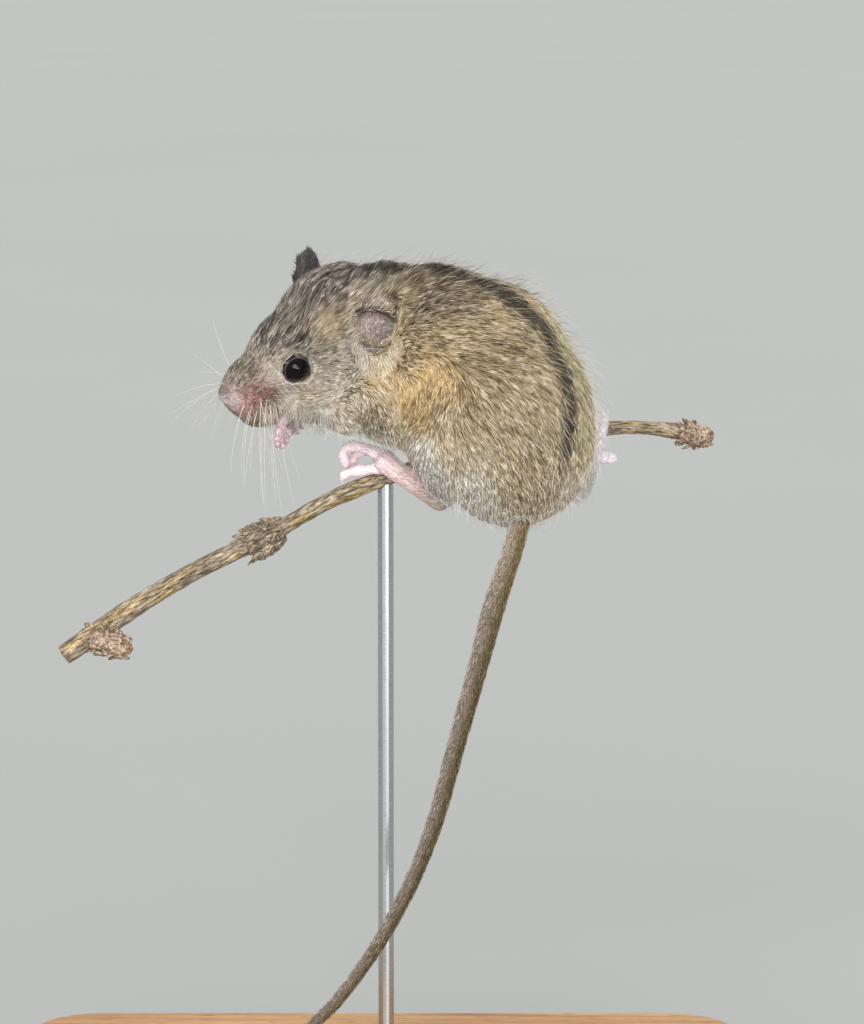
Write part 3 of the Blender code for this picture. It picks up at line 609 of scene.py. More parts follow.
def strands(name, surface, root, lie, length, lift, radius, tones, stations=(0.0, 0.5, 1.0),
            gather=None, bend=0.2, seed=1):
    """Solid tapered hairs of three sides, as one piece of the coat.

    root is (points, normals, uv). Each hair is bent to the surface, if there is one. lift is the
    angle at the root and at the tip, in radians, and tones holds a colour for each station.
    gather is (index of the hair that leads, share), by which tips draw together.
    """
    rng = np.random.default_rng(seed)
    points, normal, uv = root
    count, last = len(points), len(stations) - 1
    lie = unit(lie - normal * (lie * normal).sum(1, keepdims=True))
    side = np.cross(normal, lie)
    sway = rng.normal(0, bend, count)
    low, high, radius = (value + np.zeros(count) for value in (*lift, radius))
    path = np.empty((count, last + 1, 3))
    path[:, 0] = points - normal * HAIR_SINK
    along, height = np.zeros(count), np.full(count, -HAIR_SINK)
    for k in range(1, last + 1):
        angle = blend(low, high, (stations[k] + stations[k - 1]) / 2)
        step = length * (stations[k] - stations[k - 1])
        along = along + step * np.cos(angle)
        height = height + step * np.sin(angle)
        free = points + lie * along[:, None] + side * (sway * along * stations[k])[:, None]
        path[:, k] = surface.raised(free, height) if surface else free + normal * height[:, None]
    if gather is not None:
        lead, share = gather
        for k in range(1, last + 1):
            path[:, k] += (path[lead, k] - path[:, k]) * (share * stations[k] ** 1.5)
    tangent = unit(np.gradient(path, axis=1))
    across = unit(np.cross(tangent, normal[:, None]))
    over = np.cross(across, tangent)
    wide = radius[:, None, None, None] * HAIR_TAPER[:last, None, None]
    rings = (
        path[:, :last, None]
        + across[:, :last, None] * np.cos(HAIR_TURNS)[:, None] * wide * HAIR_WIDE
        + over[:, :last, None] * np.sin(HAIR_TURNS)[:, None] * wide * HAIR_THICK
    )
    per = last * 3 + 1
    vertices = np.concatenate([rings.reshape(count, last * 3, 3), path[:, last:]], 1)
    faces = [(0, 1, 2)]
    for k in range(last - 1):
        for i in range(3):
            a, b = k * 3 + i, k * 3 + (i + 1) % 3
            faces += [(a, a + 3, b + 3), (a, b + 3, b)]
    for i in range(3):
        faces.append(((last - 1) * 3 + i, last * 3, (last - 1) * 3 + (i + 1) % 3))
    every = (np.array(faces)[None] + (np.arange(count) * per)[:, None, None]).reshape(-1, 3)
    obj = solid(name, vertices.reshape(-1, 3), every, "coat")
    colour = np.concatenate([np.repeat(tones[:, :last], 3, axis=1), tones[:, last:]], 1)
    set_colour(obj, "coat", colour.reshape(-1, 3))
    patch = np.zeros((per, 2))
    patch[:last * 3, 0] = np.tile(np.array([-PATCH, 0.0, PATCH]), last)
    patch[:last * 3, 1] = np.repeat(np.linspace(-PATCH, PATCH_END, last), 3)
    patch[-1, 1] = PATCH
    spread = (uv[:, None] + patch[None]).reshape(-1, 2)
    layer = obj.data.uv_layers.new(name="OFBake")
    layer.data.foreach_set("uv", spread[every.ravel()].astype(np.float32).ravel())
    to_root(obj, "fur")


# The head's frame: its middle, and the ways forward, left and up.
HEAD_AT = np.array([-5.5, 3.5, 99.95])
HEAD_YAW, HEAD_PITCH, HEAD_ROLL = 22.0, 29.0, 22.0      # to the viewer, down and over, in degrees


def head_axes():
    a, p, r = (math.radians(v) for v in (-HEAD_YAW, HEAD_PITCH, HEAD_ROLL))
    forward = np.array([-math.cos(a) * math.cos(p), math.sin(a) * math.cos(p), -math.sin(p)])
    left = unit(np.cross((0, 0, 1), forward))
    up = np.cross(forward, left)
    return np.array([forward, left * math.cos(r) - up * math.sin(r), up * math.cos(r) + left * math.sin(r)])


HEAD = head_axes()


def head_way(f, l, u):
    return np.array([f, l, u]) @ HEAD


def in_head(points):
    return (points - HEAD_AT) @ HEAD.T


# The body's middle line from the muzzle to the tail, each place with the yaw that its left side has.
SPINE = (
    ((-20.1, -2.4, 91.2), None),
    ((-5.5, 3.5, 99.95), None),
    ((0.8, 3.0, 97.6), 10),
    ((6.8, -1.4, 96.4), 28),
    ((12.3, -6.2, 95.6), 36),
    ((14.8, -7.6, 90.4), 40),
    ((17.9, -11.6, 79.0), 40),
)


def left_of(yaw):
    if yaw is None:
        return HEAD[1]
    return np.array([-math.sin(math.radians(yaw)), -math.cos(math.radians(yaw)), 0.0])


def mirrored(point, lie):
    """The place and lie on the body's other side."""
    best = None
    for (a, ya), (b, yb) in zip(SPINE, SPINE[1:]):
        a, b = np.array(a), np.array(b)
        t = clamp((point - a) @ (b - a) / ((b - a) @ (b - a)))
        near = a + (b - a) * t
        away = np.linalg.norm(point - near)
        if best is None or away < best[0]:
            best = away, near, unit(blend(left_of(ya), left_of(yb), t))
    _, near, left = best
    return point - 2 * ((point - near) @ left) * left, lie - 2 * (lie @ left) * left


# Coat tones: dark hairs, the common hair, light hairs and the hair's root.
TONES = {
    "nose_grey": "5A504C 8C807C B8AEAA 7A6C68",
    "nose_white": "968C90 BCB4B8 E2DEDE A8989C",
    "muzzle": "5F4142 9B7777 C59396 8B6160",
    "bridge": "292B20 79786A E0D7C1 39372F",
    "crown": "191311 685F57 CABDB5 2E2725",
    "forehead": "16120D 686059 D2CDC1 2D2822",
    "temple": "3E3427 9B9484 E1D5CC 494036",
    "cheek": "7A6E60 C1B9AB F2ECEA 71675D",
    "jaw": "6A5D4B BCB19C F7EDDF 6C6251",
    "throat": "9C9484 DCD6C8 F8F4EA 8C8272",
    "neck": "B39762 ECD6AE F6F3E8 AE996A",
    "gold": "AA8F5B D4B98B E3D1AB 8E784F",
    "back": "1B150A 6F624D B0A594 272218",
    "flank": "4E3E20 AB9875 D0C2AC 4B412C",
    "rump": "706144 C3B395 E5D8C7 655B48",
    "yellow": "60654A B1AF87 E7E2BF 595944",
    "belly": "E8D8BA F9F9F0 F4F7F9 BFB7A4",
    "white": "C6BCAE F0EBE0 FFFBF4 B4AA9E",
    "lilac": "F9F8E8 F9F9F9 F9F9F9 E3D4C6",
    "stripe": "0C0A0B 1C1B1A 44403D 141211",
}
TONE_GAIN, TONE_TOP = 1.45, 0.92

# Rows of the coat: name, place, the way its hairs lie, their length and tones.
LEFT_COAT = """
muzzle_front -18.6 -3.6 91.6  0.7 0.1 0.3  0.5 nose_white
muzzle_top -16.6 -3.9 93.9  0.47 0.09 0.88  0.8 bridge
muzzle_side -15.7 -4 91.4  0.99 0.14 -0.02  0.7 muzzle
muzzle_lip -16.9 -3.9 90.6  0.6 0.2 -0.2  0.6 muzzle
muzzle_mid -15.5 -3.8 90.3  0.9 0.15 -0.1  0.7 muzzle
muzzle_back -14.3 -3.6 92  0.95 0.1 -0.2  0.8 muzzle
muzzle_upper -16.2 -3.8 92.9  0.8 0.1 0.4  0.7 muzzle
lip_edge -15.6 -2.6 88.8  0.4 0.3 -0.7  0.9 white
muzzle_low -14.8 -2.9 89.4  0.28 0.72 -0.64  0.8 throat
lip_low -13.8 -3.1 90.4  0.7 0.2 -0.6  1.1 throat
bridge -17.8 -2.7 95.6  0.45 0.53 0.72  1.3 bridge
brow -13.6 -2.3 100.7  0.48 0.41 0.78  1.9 forehead
forehead -10.1 -3.8 99.2  0.52 0.26 0.81  2 forehead
eye_front -13.4 -4.2 94.6  0.6 0.05 0.75  0.8 cheek
eye_top -10.6 -4 97.2  0.8 0.05 0.6  1.1 temple
eye_back -8.2 -4 95  0.97 0 0.2  1.5 cheek
eye_low -11 -4 92.3  0.98 -0.1 -0.05  1.2 cheek
crown -8.5 -2.7 103.9  0.56 0.3 0.77  2.2 crown
crown_back -4.5 -1 106.3  0.58 0.65 0.49  2.4 crown
ear_front -6 -2.6 101  0.75 -0.1 0.55  1.9 rump
ear_low -2.5 -4.3 98.3  0.9 -0.2 0.15  2 cheek
ear_back 2.2 -5 101.6  0.9 -0.3 0.05  2.4 neck
ear_top -1.6 -1.6 105.3  0.8 0.3 0.35  2.1 jaw
nape -1.2 0.1 107.1  0.63 0.63 0.45  2.7 crown
nape_back 3.5 -3.8 107.1  0.84 0.29 0.25  2.9 back
temple -6.7 -3.8 97.5  0.89 -0.16 0.42  2 temple
below_ear -3 -4.5 96.8  0.83 -0.52 0.19  2.2 temple
cheek -4.9 -2.9 94.4  0.87 -0.48 0.1  2.2 cheek
jaw -8.5 -3.1 91.8  0.94 -0.33 -0.05  2.1 jaw
jaw_back -4.9 -5.9 90.4  0.84 -0.41 -0.36  2.5 jaw
neck_side 0.5 -8.3 93.9  0.85 -0.32 -0.41  2.8 neck
chin -13.3 0.2 88.4  0.18 0.35 -0.92  1.4 throat
throat -8.2 -4.4 88.6  0.35 0.38 -0.85  2.3 throat
jaw_edge -11.4 -3.2 90  0.75 0.05 -0.6  1.8 throat
jaw_edge_back -5.6 -5.4 88.6  0.6 0.1 -0.75  2.4 throat
shoulder 2.8 -11.4 98.6  0.54 -0.84 0  3.1 flank
shoulder_low 2.9 -11.2 91.8  0.16 0.32 -0.94  2.9 gold
behind_elbow 6.7 -15.7 94.9  -0.13 0.14 -0.98  3.1 gold
elbow 4.5 -12.8 91.1  -0.08 0.52 -0.85  3 gold
withers 5.4 -9 104.5  0.7 -0.71 0.08  3.1 back
back_side 10.1 -12.7 104.8  0.93 -0.37 -0.01  3.2 back
back_high 15.7 -14.1 103.5  0.88 -0.07 -0.46  3.3 flank
mid_flank 9 -15.8 100.3  0.94 -0.35 -0.05  3.3 flank
flank 13.4 -16.8 99.6  0.96 -0.08 -0.27  3.4 flank
loin_flank 17.8 -16.5 97.4  0.76 -0.04 -0.64  3.4 flank
low_flank 13.4 -18 94.3  0.62 -0.38 -0.69  3.3 flank
belly_side 7.8 -15.8 89.3  0.46 -0.27 -0.84  3.1 rump
thigh_top 11.2 -18 92  0.57 -0.47 -0.67  3.2 flank
thigh 15.6 -19.1 89.9  0.54 0.12 -0.83  3.2 rump
hip 21.1 -17.3 91.9  0.4 0.08 -0.91  3.2 rump
rump_low 22 -17.4 86.2  0.1 0.12 -0.98  3.1 rump
seat 17.7 -18.6 85.5  0.39 0.16 -0.91  3.1 rump
knee 9 -15.6 85.3  0.39 0.12 -0.91  2.8 rump
groin 5.6 -11.9 83.9  0.12 0.41 -0.9  2.5 lilac
belly_edge 11.3 -14.8 80.9  0.16 0.67 -0.73  2.8 belly
belly_rim 9 -13.6 80.2  0.16 0.6 -0.78  2.6 white
belly_rim_back 12.6 -14.6 79  0.16 0.6 -0.78  2.6 white
belly_edge_back 13.6 -15.4 79.6  0.16 0.67 -0.73  2.8 belly
groin_low 6.8 -11.6 82.4  0.12 0.41 -0.9  2.4 lilac
tail_left 15.6 -16.1 80.1  0.36 0.59 -0.72  2.3 rump
forearm -8 -4.6 89.6  -0.95 0.05 -0.1  1.2 lilac
upper_arm -2.5 -6.5 90.5  0.1 0.2 -0.95  2.4 jaw
shank 6.6 -6 82.5  0.1 0.5 -0.85  1.6 lilac
"""
OTHER_COAT = """
snout_tip -20.3 -2.9 93.2  0.7 0.25 0.6  0.4 nose_grey
snout_top -18.5 -3 95.1  0.7 0.33 0.6  1 nose_grey
front -13.5 -2 100.6  0.75 0.15 0.65  1.8 forehead
crown_middle -7.7 -0.6 106.4  0.85 0.35 0.35  2.3 crown
nape_middle -1 2.6 108  0.93 0.2 0.25  2.7 back
withers_top 3.5 1 108.4  0.85 -0.45 0.12  3 back
back_top 9 -3.4 108.2  0.8 -0.55 -0.1  3.2 back
loin_top 14.5 -7.5 107  0.75 -0.55 -0.4  3.3 back
rump_top 19.8 -11 102.5  0.5 -0.4 -0.77  3.4 rump
rump_rear 23 -14.2 94  0.15 -0.12 -0.98  3.2 rump
rump_foot 22.8 -15.8 86  -0.1 0.1 -0.99  3 rump
tail_base 19.5 -13.8 80.5  -0.2 0.2 -0.96  2.2 rump
tail_under 15.2 -9.5 79  0.4 -0.3 -0.86  2.2 belly
belly_middle 8 -3 84.5  0.8 -0.5 -0.25  3 belly
chest 0.5 2 88  0.9 -0.3 -0.3  2.8 belly
throat_middle -8.3 5.4 91  0.8 0.3 -0.35  2.3 throat
chin_middle -13.8 2.7 88.6  0.6 0.25 -0.6  1.2 throat
rump_side 24.9 -11.8 94.3  0.3 0 -0.95  3.2 yellow
rump_side_top 23 -9.5 99.5  0.45 0 -0.89  3.2 yellow
rump_side_low 24.6 -13.2 87.5  0.05 0.1 -0.99  3 yellow
shank_right 24 -3 83  0.4 0.1 -0.9  1.6 white
rump_white 24.6 -9.8 83  0.3 0.1 -0.95  2.8 white
rump_white_back 24 -7.5 80.5  0.3 0.1 -0.95  2.8 white
rump_white_low 22.3 -12.6 80.2  0.2 0.2 -0.96  2.8 white
"""

# The dark stripe along the back, from between the ears to the tail, with its half width.
STRIPE_ROUTE = (
    (-7.4, -0.8, 106.4, 0.1), (-3.4, 1.3, 107.6, 0.4), (0.6, 1.6, 108.3, 0.6), (4.4, -0.2, 108.4, 0.75),
    (8.2, -3.4, 108.1, 0.85), (13.2, -8.4, 107, 1), (15.3, -10.8, 105.6, 1.1), (18, -12, 103.8, 1.05),
    (20.8, -12.2, 101.4, 0.9), (22.3, -14, 96.7, 0.75), (23.4, -15.2, 92.4, 0.7), (23.4, -15.9, 89.6, 0.6),
    (23.1, -16.4, 87, 0.45), (22.4, -16.6, 84.6, 0.1),
)
STRIPE_EDGE, STRIPE_DARK, STRIPE_DEPTH = 0.7, 0.88, 3.5
FIELD_CORE, FIELD_FALL = 0.6, 2.2           # how a row of the coat loses weight with distance
BLOCK = 20000                               # how many points coat_fields takes at a time


def tone_rows(name):
    tones = np.array([linear(code) for code in TONES[name].split()]) * TONE_GAIN
    return tones * np.minimum(1, TONE_TOP / tones.max(1, keepdims=True))


def coat_rows(text):
    for line in text.strip().splitlines():
        name, *numbers, tone = line.split()
        numbers = [float(number) for number in numbers]
        yield name, np.array(numbers[:3]), unit(np.array(numbers[3:6])), numbers[6], tone


def coat_table():
    """Places, ways, lengths and tones of the coat. The left side's rows also give the right side."""
    rows = []
    for name, place, lie, length, tone in coat_rows(LEFT_COAT):
        rows.append((place, lie, length, tone_rows(tone)))
        far_tone = "forehead" if name.startswith("ear_") else tone
        rows.append((*mirrored(place, lie), length, tone_rows(far_tone)))
    for _, place, lie, length, tone in coat_rows(OTHER_COAT):
        rows.append((place, lie, length, tone_rows(tone)))
    return [np.array(column) for column in zip(*rows)]


def out_of_body(points):
    """The way out of the body at points, away from its middle line."""
    middle, _ = smooth_line([(*place, 0) for place, _ in SPINE], 60)
    near = ((points[:, None] - middle[None]) ** 2).sum(-1).argmin(1)
    return unit(points - middle[near])


COAT_AT, COAT_LIE, COAT_LENGTH, COAT_TONES = coat_table()
STRIPE_LINE, STRIPE_WIDTH = smooth_line(STRIPE_ROUTE, 90)
STRIPE_OUT = out_of_body(STRIPE_LINE)


def coat_fields(points):
    """The lie, hair length and four tones of the coat at points, blended from the table."""
    lies, lengths, tones = [], [], []
    for start in range(0, len(points), BLOCK):
        some = points[start:start + BLOCK]
        away = ((some[:, None] - COAT_AT[None]) ** 2).sum(-1)
        share = 1 / (away + FIELD_CORE) ** FIELD_FALL
        share /= share.sum(1, keepdims=True)
        lies.append(share @ COAT_LIE)
        lengths.append(share @ COAT_LENGTH)
        colour = np.einsum("nm,mtc->ntc", share, COAT_TONES)
        step = some[:, None] - STRIPE_LINE[None]
        depth = (step * STRIPE_OUT[None]).sum(-1)
        gap = np.sqrt(np.maximum((step ** 2).sum(-1) - depth ** 2, 0))
        gap += np.maximum(np.abs(depth) - STRIPE_DEPTH, 0)
        near = gap.argmin(1)
        dark = clamp(1 - (gap.min(1) - STRIPE_WIDTH[near]) / STRIPE_EDGE)
        dark = dark * clamp(STRIPE_WIDTH[near] / 0.5) * STRIPE_DARK
        colour += (tone_rows("stripe")[None] - colour) * dark[:, None, None]
        tones.append(colour)
    return np.concatenate(lies), np.concatenate(lengths), np.concatenate(tones)


# Eyes and ears in the head's frame. The right ear is laid lower.
EYE_AT, EYE_AIM, EYE_RADIUS = (8.45, 4.05, 1.12), (0.22, 1.0, 0.22), 1.62
# Rings of the lids: how far out, half length, half height, thickness, corner and seed.
LIDS = ((0.56, 1.56, 1.48, 0.10, 0.16, 1), (0.34, 1.62, 1.54, 0.10, 0.0, 2))
LID_POINTS, LID_SIDES = 56, 10
EAR_AT = {1: (-1.9, 8.7, 4.0), -1: (-1.1, 8.6, 3.4)}
EAR_OPENS, EAR_TIP = (0.70, 0.80, 0.10), (-0.42, 0.14, 0.90)
EAR_WIDTH, EAR_LENGTH, EAR_CUP, EAR_WALL = 2.9, 3.6, 1.7, 0.16
EAR_NARROWS = {1: 0.34, -1: 0.72}           # how much narrower an ear gets towards its tip
EAR_FOLDS = ((-1.9, 0.35, 0.30), (-1.1, 0.3, 0.24), (2.5, 0.3, 0.22))   # turn, width and height
EAR_TURNS, EAR_STEPS, EAR_RIM = 72, 16, 0.9
EAR_ROOM = (2.7, 3.3, 4.0)
EAR_HAIRS, EAR_HAIR_RADIUS = 4200, 0.033
# Hair tones of the ears. shade is painted shadow, for the hairs in the slit under the near ear's upper fold.
EAR_TONES = {
    "inside": "564A47 8E807A C8BBB2",
    "behind": "3A3638 4E4A4E 6C6668",
    "edge": "A89A86 E6DAC6 FFF6E6",
    "fawn": "8A7C66 C4B69C EBDFC9",
    "shade": "2E2724 4A413C 6E625A",
}


def sided(place, side):
    """A place or way in the head's frame, on the side that is given."""
    return np.array([place[0], place[1] * side, place[2]])


def eye_frame(side):
    """Centre of one eye, the way it looks, and the level and upright ways across it."""
    aim = unit(sided(EYE_AIM, side) @ HEAD)
    level = head_way(1.0, 0.0, -0.18)
    level = unit(level - aim * (level @ aim))
    return HEAD_AT + sided(EYE_AT, side) @ HEAD, aim, level, np.cross(aim, level)


def ear_frame(side):
    """Middle of an ear's rim, the way it opens, the way across and the way to its tip."""
    opens = unit(sided(EAR_OPENS, side) @ HEAD)
    tip = sided(EAR_TIP, side) @ HEAD
    tip = unit(tip - opens * (tip @ opens))
    return HEAD_AT + sided(EAR_AT[side], side) @ HEAD, opens, np.cross(tip, opens), tip


def in_ear(points, side):
    centre, opens, across, tip = ear_frame(side)
    return (points - centre) @ np.array([opens, across, tip]).T


def to_rim(local):
    """How far places in an ear lie from its middle, 1 at its rim."""
    return np.hypot(local[:, 1] / EAR_WIDTH, local[:, 2] / EAR_LENGTH)


def eyes():
    for name, side in SIDES:
        centre, aim, level, upright = eye_frame(side)
        turn = Matrix([(*row,) for row in np.column_stack([level, upright, aim, centre])] + [(0, 0, 0, 1)])
        shape = Matrix.Scale(MM, 4) @ turn @ Matrix.Diagonal((EYE_RADIUS, EYE_RADIUS, EYE_RADIUS, 1))
        bm = bmesh.new()
        bmesh.ops.create_uvsphere(bm, u_segments=48, v_segments=28, radius=1.0, matrix=shape)
        to_root(from_bmesh("eyeball_" + name, bm, "eye"), "eye", "eye_" + name)
        bm = bmesh.new()
        for out, long, high, thick, corner, seed in LIDS:
            rng = random.Random(seed)
            turns = np.linspace(0, 2 * math.pi, LID_POINTS + 1)[:-1]
            ring = centre + aim * out + (np.cos(turns) * long)[:, None] * level
            ring = ring + (np.sin(turns) * high)[:, None] * upright
            ring += level * corner * gauss(turns, 0.25)[:, None]
            radii = np.array([thick * (1 + 0.18 * rng.uniform(-1, 1)) for _ in turns])
            points, quads = tube_arrays(np.vstack([ring, ring[:1]]), np.append(radii, radii[0]), LID_SIDES)
            points = points[:-LID_SIDES]
            add_faces(bm, points, quads % len(points))
        to_root(from_bmesh("lids_" + name, bm, "lid"), "ear_skin")


def pinna(name, side):
    """A thin cupped ear with a rolled rim, folds inside and a soft point."""
    centre, opens, across, tip = ear_frame(side)
    inside = [(math.sin(t), -math.cos(t), 1) for t in np.linspace(0.02, math.pi / 2, EAR_STEPS)]
    outside = [(math.sin(t), -math.cos(t), -1) for t in np.linspace(math.pi / 2, 0.02, EAR_STEPS)]
    points = []
    for r, x, face in inside + outside:
        for i in range(EAR_TURNS):
            a = 2 * math.pi * i / EAR_TURNS
            y, z = math.cos(a), math.sin(a)
            shape = np.array([EAR_CUP * x, EAR_WIDTH * r * y, EAR_LENGTH * r * z])
            shape[1] *= 1 - EAR_NARROWS[side] * max(0.0, r * z) ** 2
            out = unit(np.array([x / EAR_CUP, r * y / EAR_WIDTH, r * z / EAR_LENGTH]))
            rim = max(0.0, (r - EAR_RIM) / 0.1)
            fold = 0.0
            if face > 0:
                for at, width, high in EAR_FOLDS:
                    ridge = math.exp(-(math.remainder(a - at, 2 * math.pi) / width) ** 2)
                    fold += high * ridge * max(0, math.sin(math.pi * r)) ** 1.5
            shape = shape - out * (face * EAR_WALL * (1 + 0.4 * rim) + fold)
            wave = noise.noise(Vector((y * 2, z * 2, 3.0 * side)))
            curl = rim * max(0.0, z + 0.1)
            shape = shape + np.array([0.35 * rim * wave + 0.35 * curl, 0, -1.3 * curl])
            points.append(centre + shape @ np.array([opens, across, tip]))
    bm = bmesh.new()
    quads = np.roll(ring_quads(2 * EAR_STEPS, EAR_TURNS), 1, axis=1)
    verts = add_faces(bm, points, quads)
    bm.faces.new(verts[:EAR_TURNS])
    bm.faces.new(verts[-EAR_TURNS:][::-1])
    bmesh.ops.remove_doubles(bm, verts=bm.verts, dist=1e-6)
    obj = from_bmesh("pinna_" + name, bm, "ear")
    local = in_ear(points_of(obj), side)
    high = local[:, 2] / EAR_LENGTH
    away = (points_of(obj) - centre)[:, 0]
    # The shade colour on the near ear: a painted shadow in the slit under the upper fold, painted shade that
    # darkens the bowl towards its right, and a rim made paler on its right, partly its own pale edge and
    # partly painted light.
    if side > 0:
        slit = clamp((high - 0.18) * 6) * clamp((0.8 - high) * 6)
        slit = slit * (normals_of(obj) @ opens > -0.2)
        rim = clamp((to_rim(local) - EAR_RIM) * 12) * clamp(away + 0.5) * (high < 0.3)
        tone = (1.0 - 0.16 * np.clip(away / 2.0, -1, 1)) * (1 - 0.8 * slit * (1 - rim)) + 0.35 * rim
    else:
        # The far ear is painted in shade all over, darkest towards its tip.
        tone = 1 - 0.8 * (0.85 + 0.25 * clamp(high * 3))
    set_colour(obj, "shade", np.repeat(tone[:, None], 3, axis=1))
    to_root(unwrapped(obj), "ear_skin", "ear_" + name)
    return obj


def flat_tones(count, codes):
    """The same colours along every hair."""
    return np.repeat(np.array([linear(code) for code in codes.split()])[None], count, axis=0)


def varied(tones, rng, spread):
    """Tones made lighter or darker hair by hair."""
    return tones * np.exp(rng.normal(0, spread, (len(tones), 1, 1)))


def ears():
    for name, side in SIDES:
        surface = Surface(pinna(name, side))
        rng = np.random.default_rng(31 + side)
        root = surface.roots(EAR_HAIRS, rng, 1 + 5.0 * (to_rim(in_ear(surface.middle, side)) > EAR_RIM))
        points, normal, _ = root
        count = len(points)
        local = in_ear(points, side)
        centre, opens, across, tip = ear_frame(side)
        inner = (normal @ opens) > 0.1
        top = (local[:, 2] > 0.42 * EAR_LENGTH) & (to_rim(local) > 0.6)
        rim = (to_rim(local) > EAR_RIM) & ~top
        away = unit(local[:, 1:2] * across + local[:, 2:3] * tip)
        lie = unit(away * 0.7 + tip * 0.6)
        if side > 0:
            lie[inner] = unit(away[inner] * 0.3 + tip * 0.8 + rng.normal(0, 0.2, (inner.sum(), 3)))
        lie[top] = unit(lie[top] * 0.4 + np.array([0.85, 0.0, 0.35]))
        if side < 0:
            point = (local[:, 2] > 0.3 * EAR_LENGTH) & (np.abs(local[:, 1]) < 1.2)
            lie[point] = unit(tip + across * 0.25)
        length = np.where(rim, 0.6, np.where(inner, 0.65, 0.7)) * rng.uniform(0.7, 1.3, count)
        length[top] *= 1.5 if side > 0 else 1.15
        inside, behind, edge, fawn, shade = (flat_tones(count, codes) for codes in EAR_TONES.values())
        tones = np.where(rim[:, None, None], edge, np.where(inner[:, None, None], inside, behind))
        if side > 0:
            near = (points - centre)[:, 0] < 0.4
            tones[rim & near] = fawn[0] * 0.75
            tones[top & inner] = fawn[0]
            # Painted shadow: dark hairs in the slit under the upper fold.
            tones[inner & ~top & (local[:, 2] > 0.2 * EAR_LENGTH)] = shade[0]
            length[rim] *= 1.35
        else:
            # Painted shade on the far ear: its lowest hairs and the hairs inside it are darkened.
            tones[local[:, 2] < 0.1 * EAR_LENGTH] = fawn[0] * 0.3
            tones[rim] = behind[0]
            tones[inner] *= 0.45
        strands("ear_hair_" + name, None, root, lie, length, (0.5, 0.25), EAR_HAIR_RADIUS,
                varied(tones, rng, 0.42), seed=41 + side)


# The ears' fringes: how much of the coat's tone, and the shortest and longest hair. The far ear's fringe
# keeps 0.42 of the coat's tone as painted shade.
FRINGE_ROOTS, FRINGE_RADIUS = 60000, 0.03
FRINGES = {1: (1.0, 1.7, 2.9), -1: (0.42, 1.3, 2.1)}


def ear_fringe(surface):
    """Hairs of the cheek and temple that lie over the front edge of each ear."""
    rng = np.random.default_rng(37)
    every = surface.roots(FRINGE_ROOTS, rng)
    for name, side in SIDES:
        points, normal, _ = every
        local = in_ear(points, side)
        away = np.hypot(local[:, 1] / EAR_ROOM[1], local[:, 2] / EAR_ROOM[2])
        centre, opens, _, tip = ear_frame(side)
        front = (normal @ opens > 0.0) & (local[:, 0] > -2.2) & (away > 1.02) & (away < 1.5)
        front &= ((points - centre) @ HEAD[0] > 0.2) & open_to_hair(points)
        root = kept(every, front)
        count = len(root[0])
        spread = rng.normal(0, 0.1, (count, 3))
        lie = unit(unit(centre - root[0]) * 0.5 + tip * 0.35 - HEAD[0] * 0.6 + spread)
        tones = coat_fields(root[0])[2]
        own = rng.beta(1.2, 1.0, count)[:, None]
        shade, shortest, longest = FRINGES[side]
        body = blend(tones[:, 1], tones[:, 2], own) * shade
        strands("ear_fringe_" + name, None, root, lie, rng.uniform(shortest, longest, count), (0.75, 0.45),
                FRINGE_RADIUS, np.stack([tones[:, 3], body, body], 1), bend=0.12, seed=51 + side)


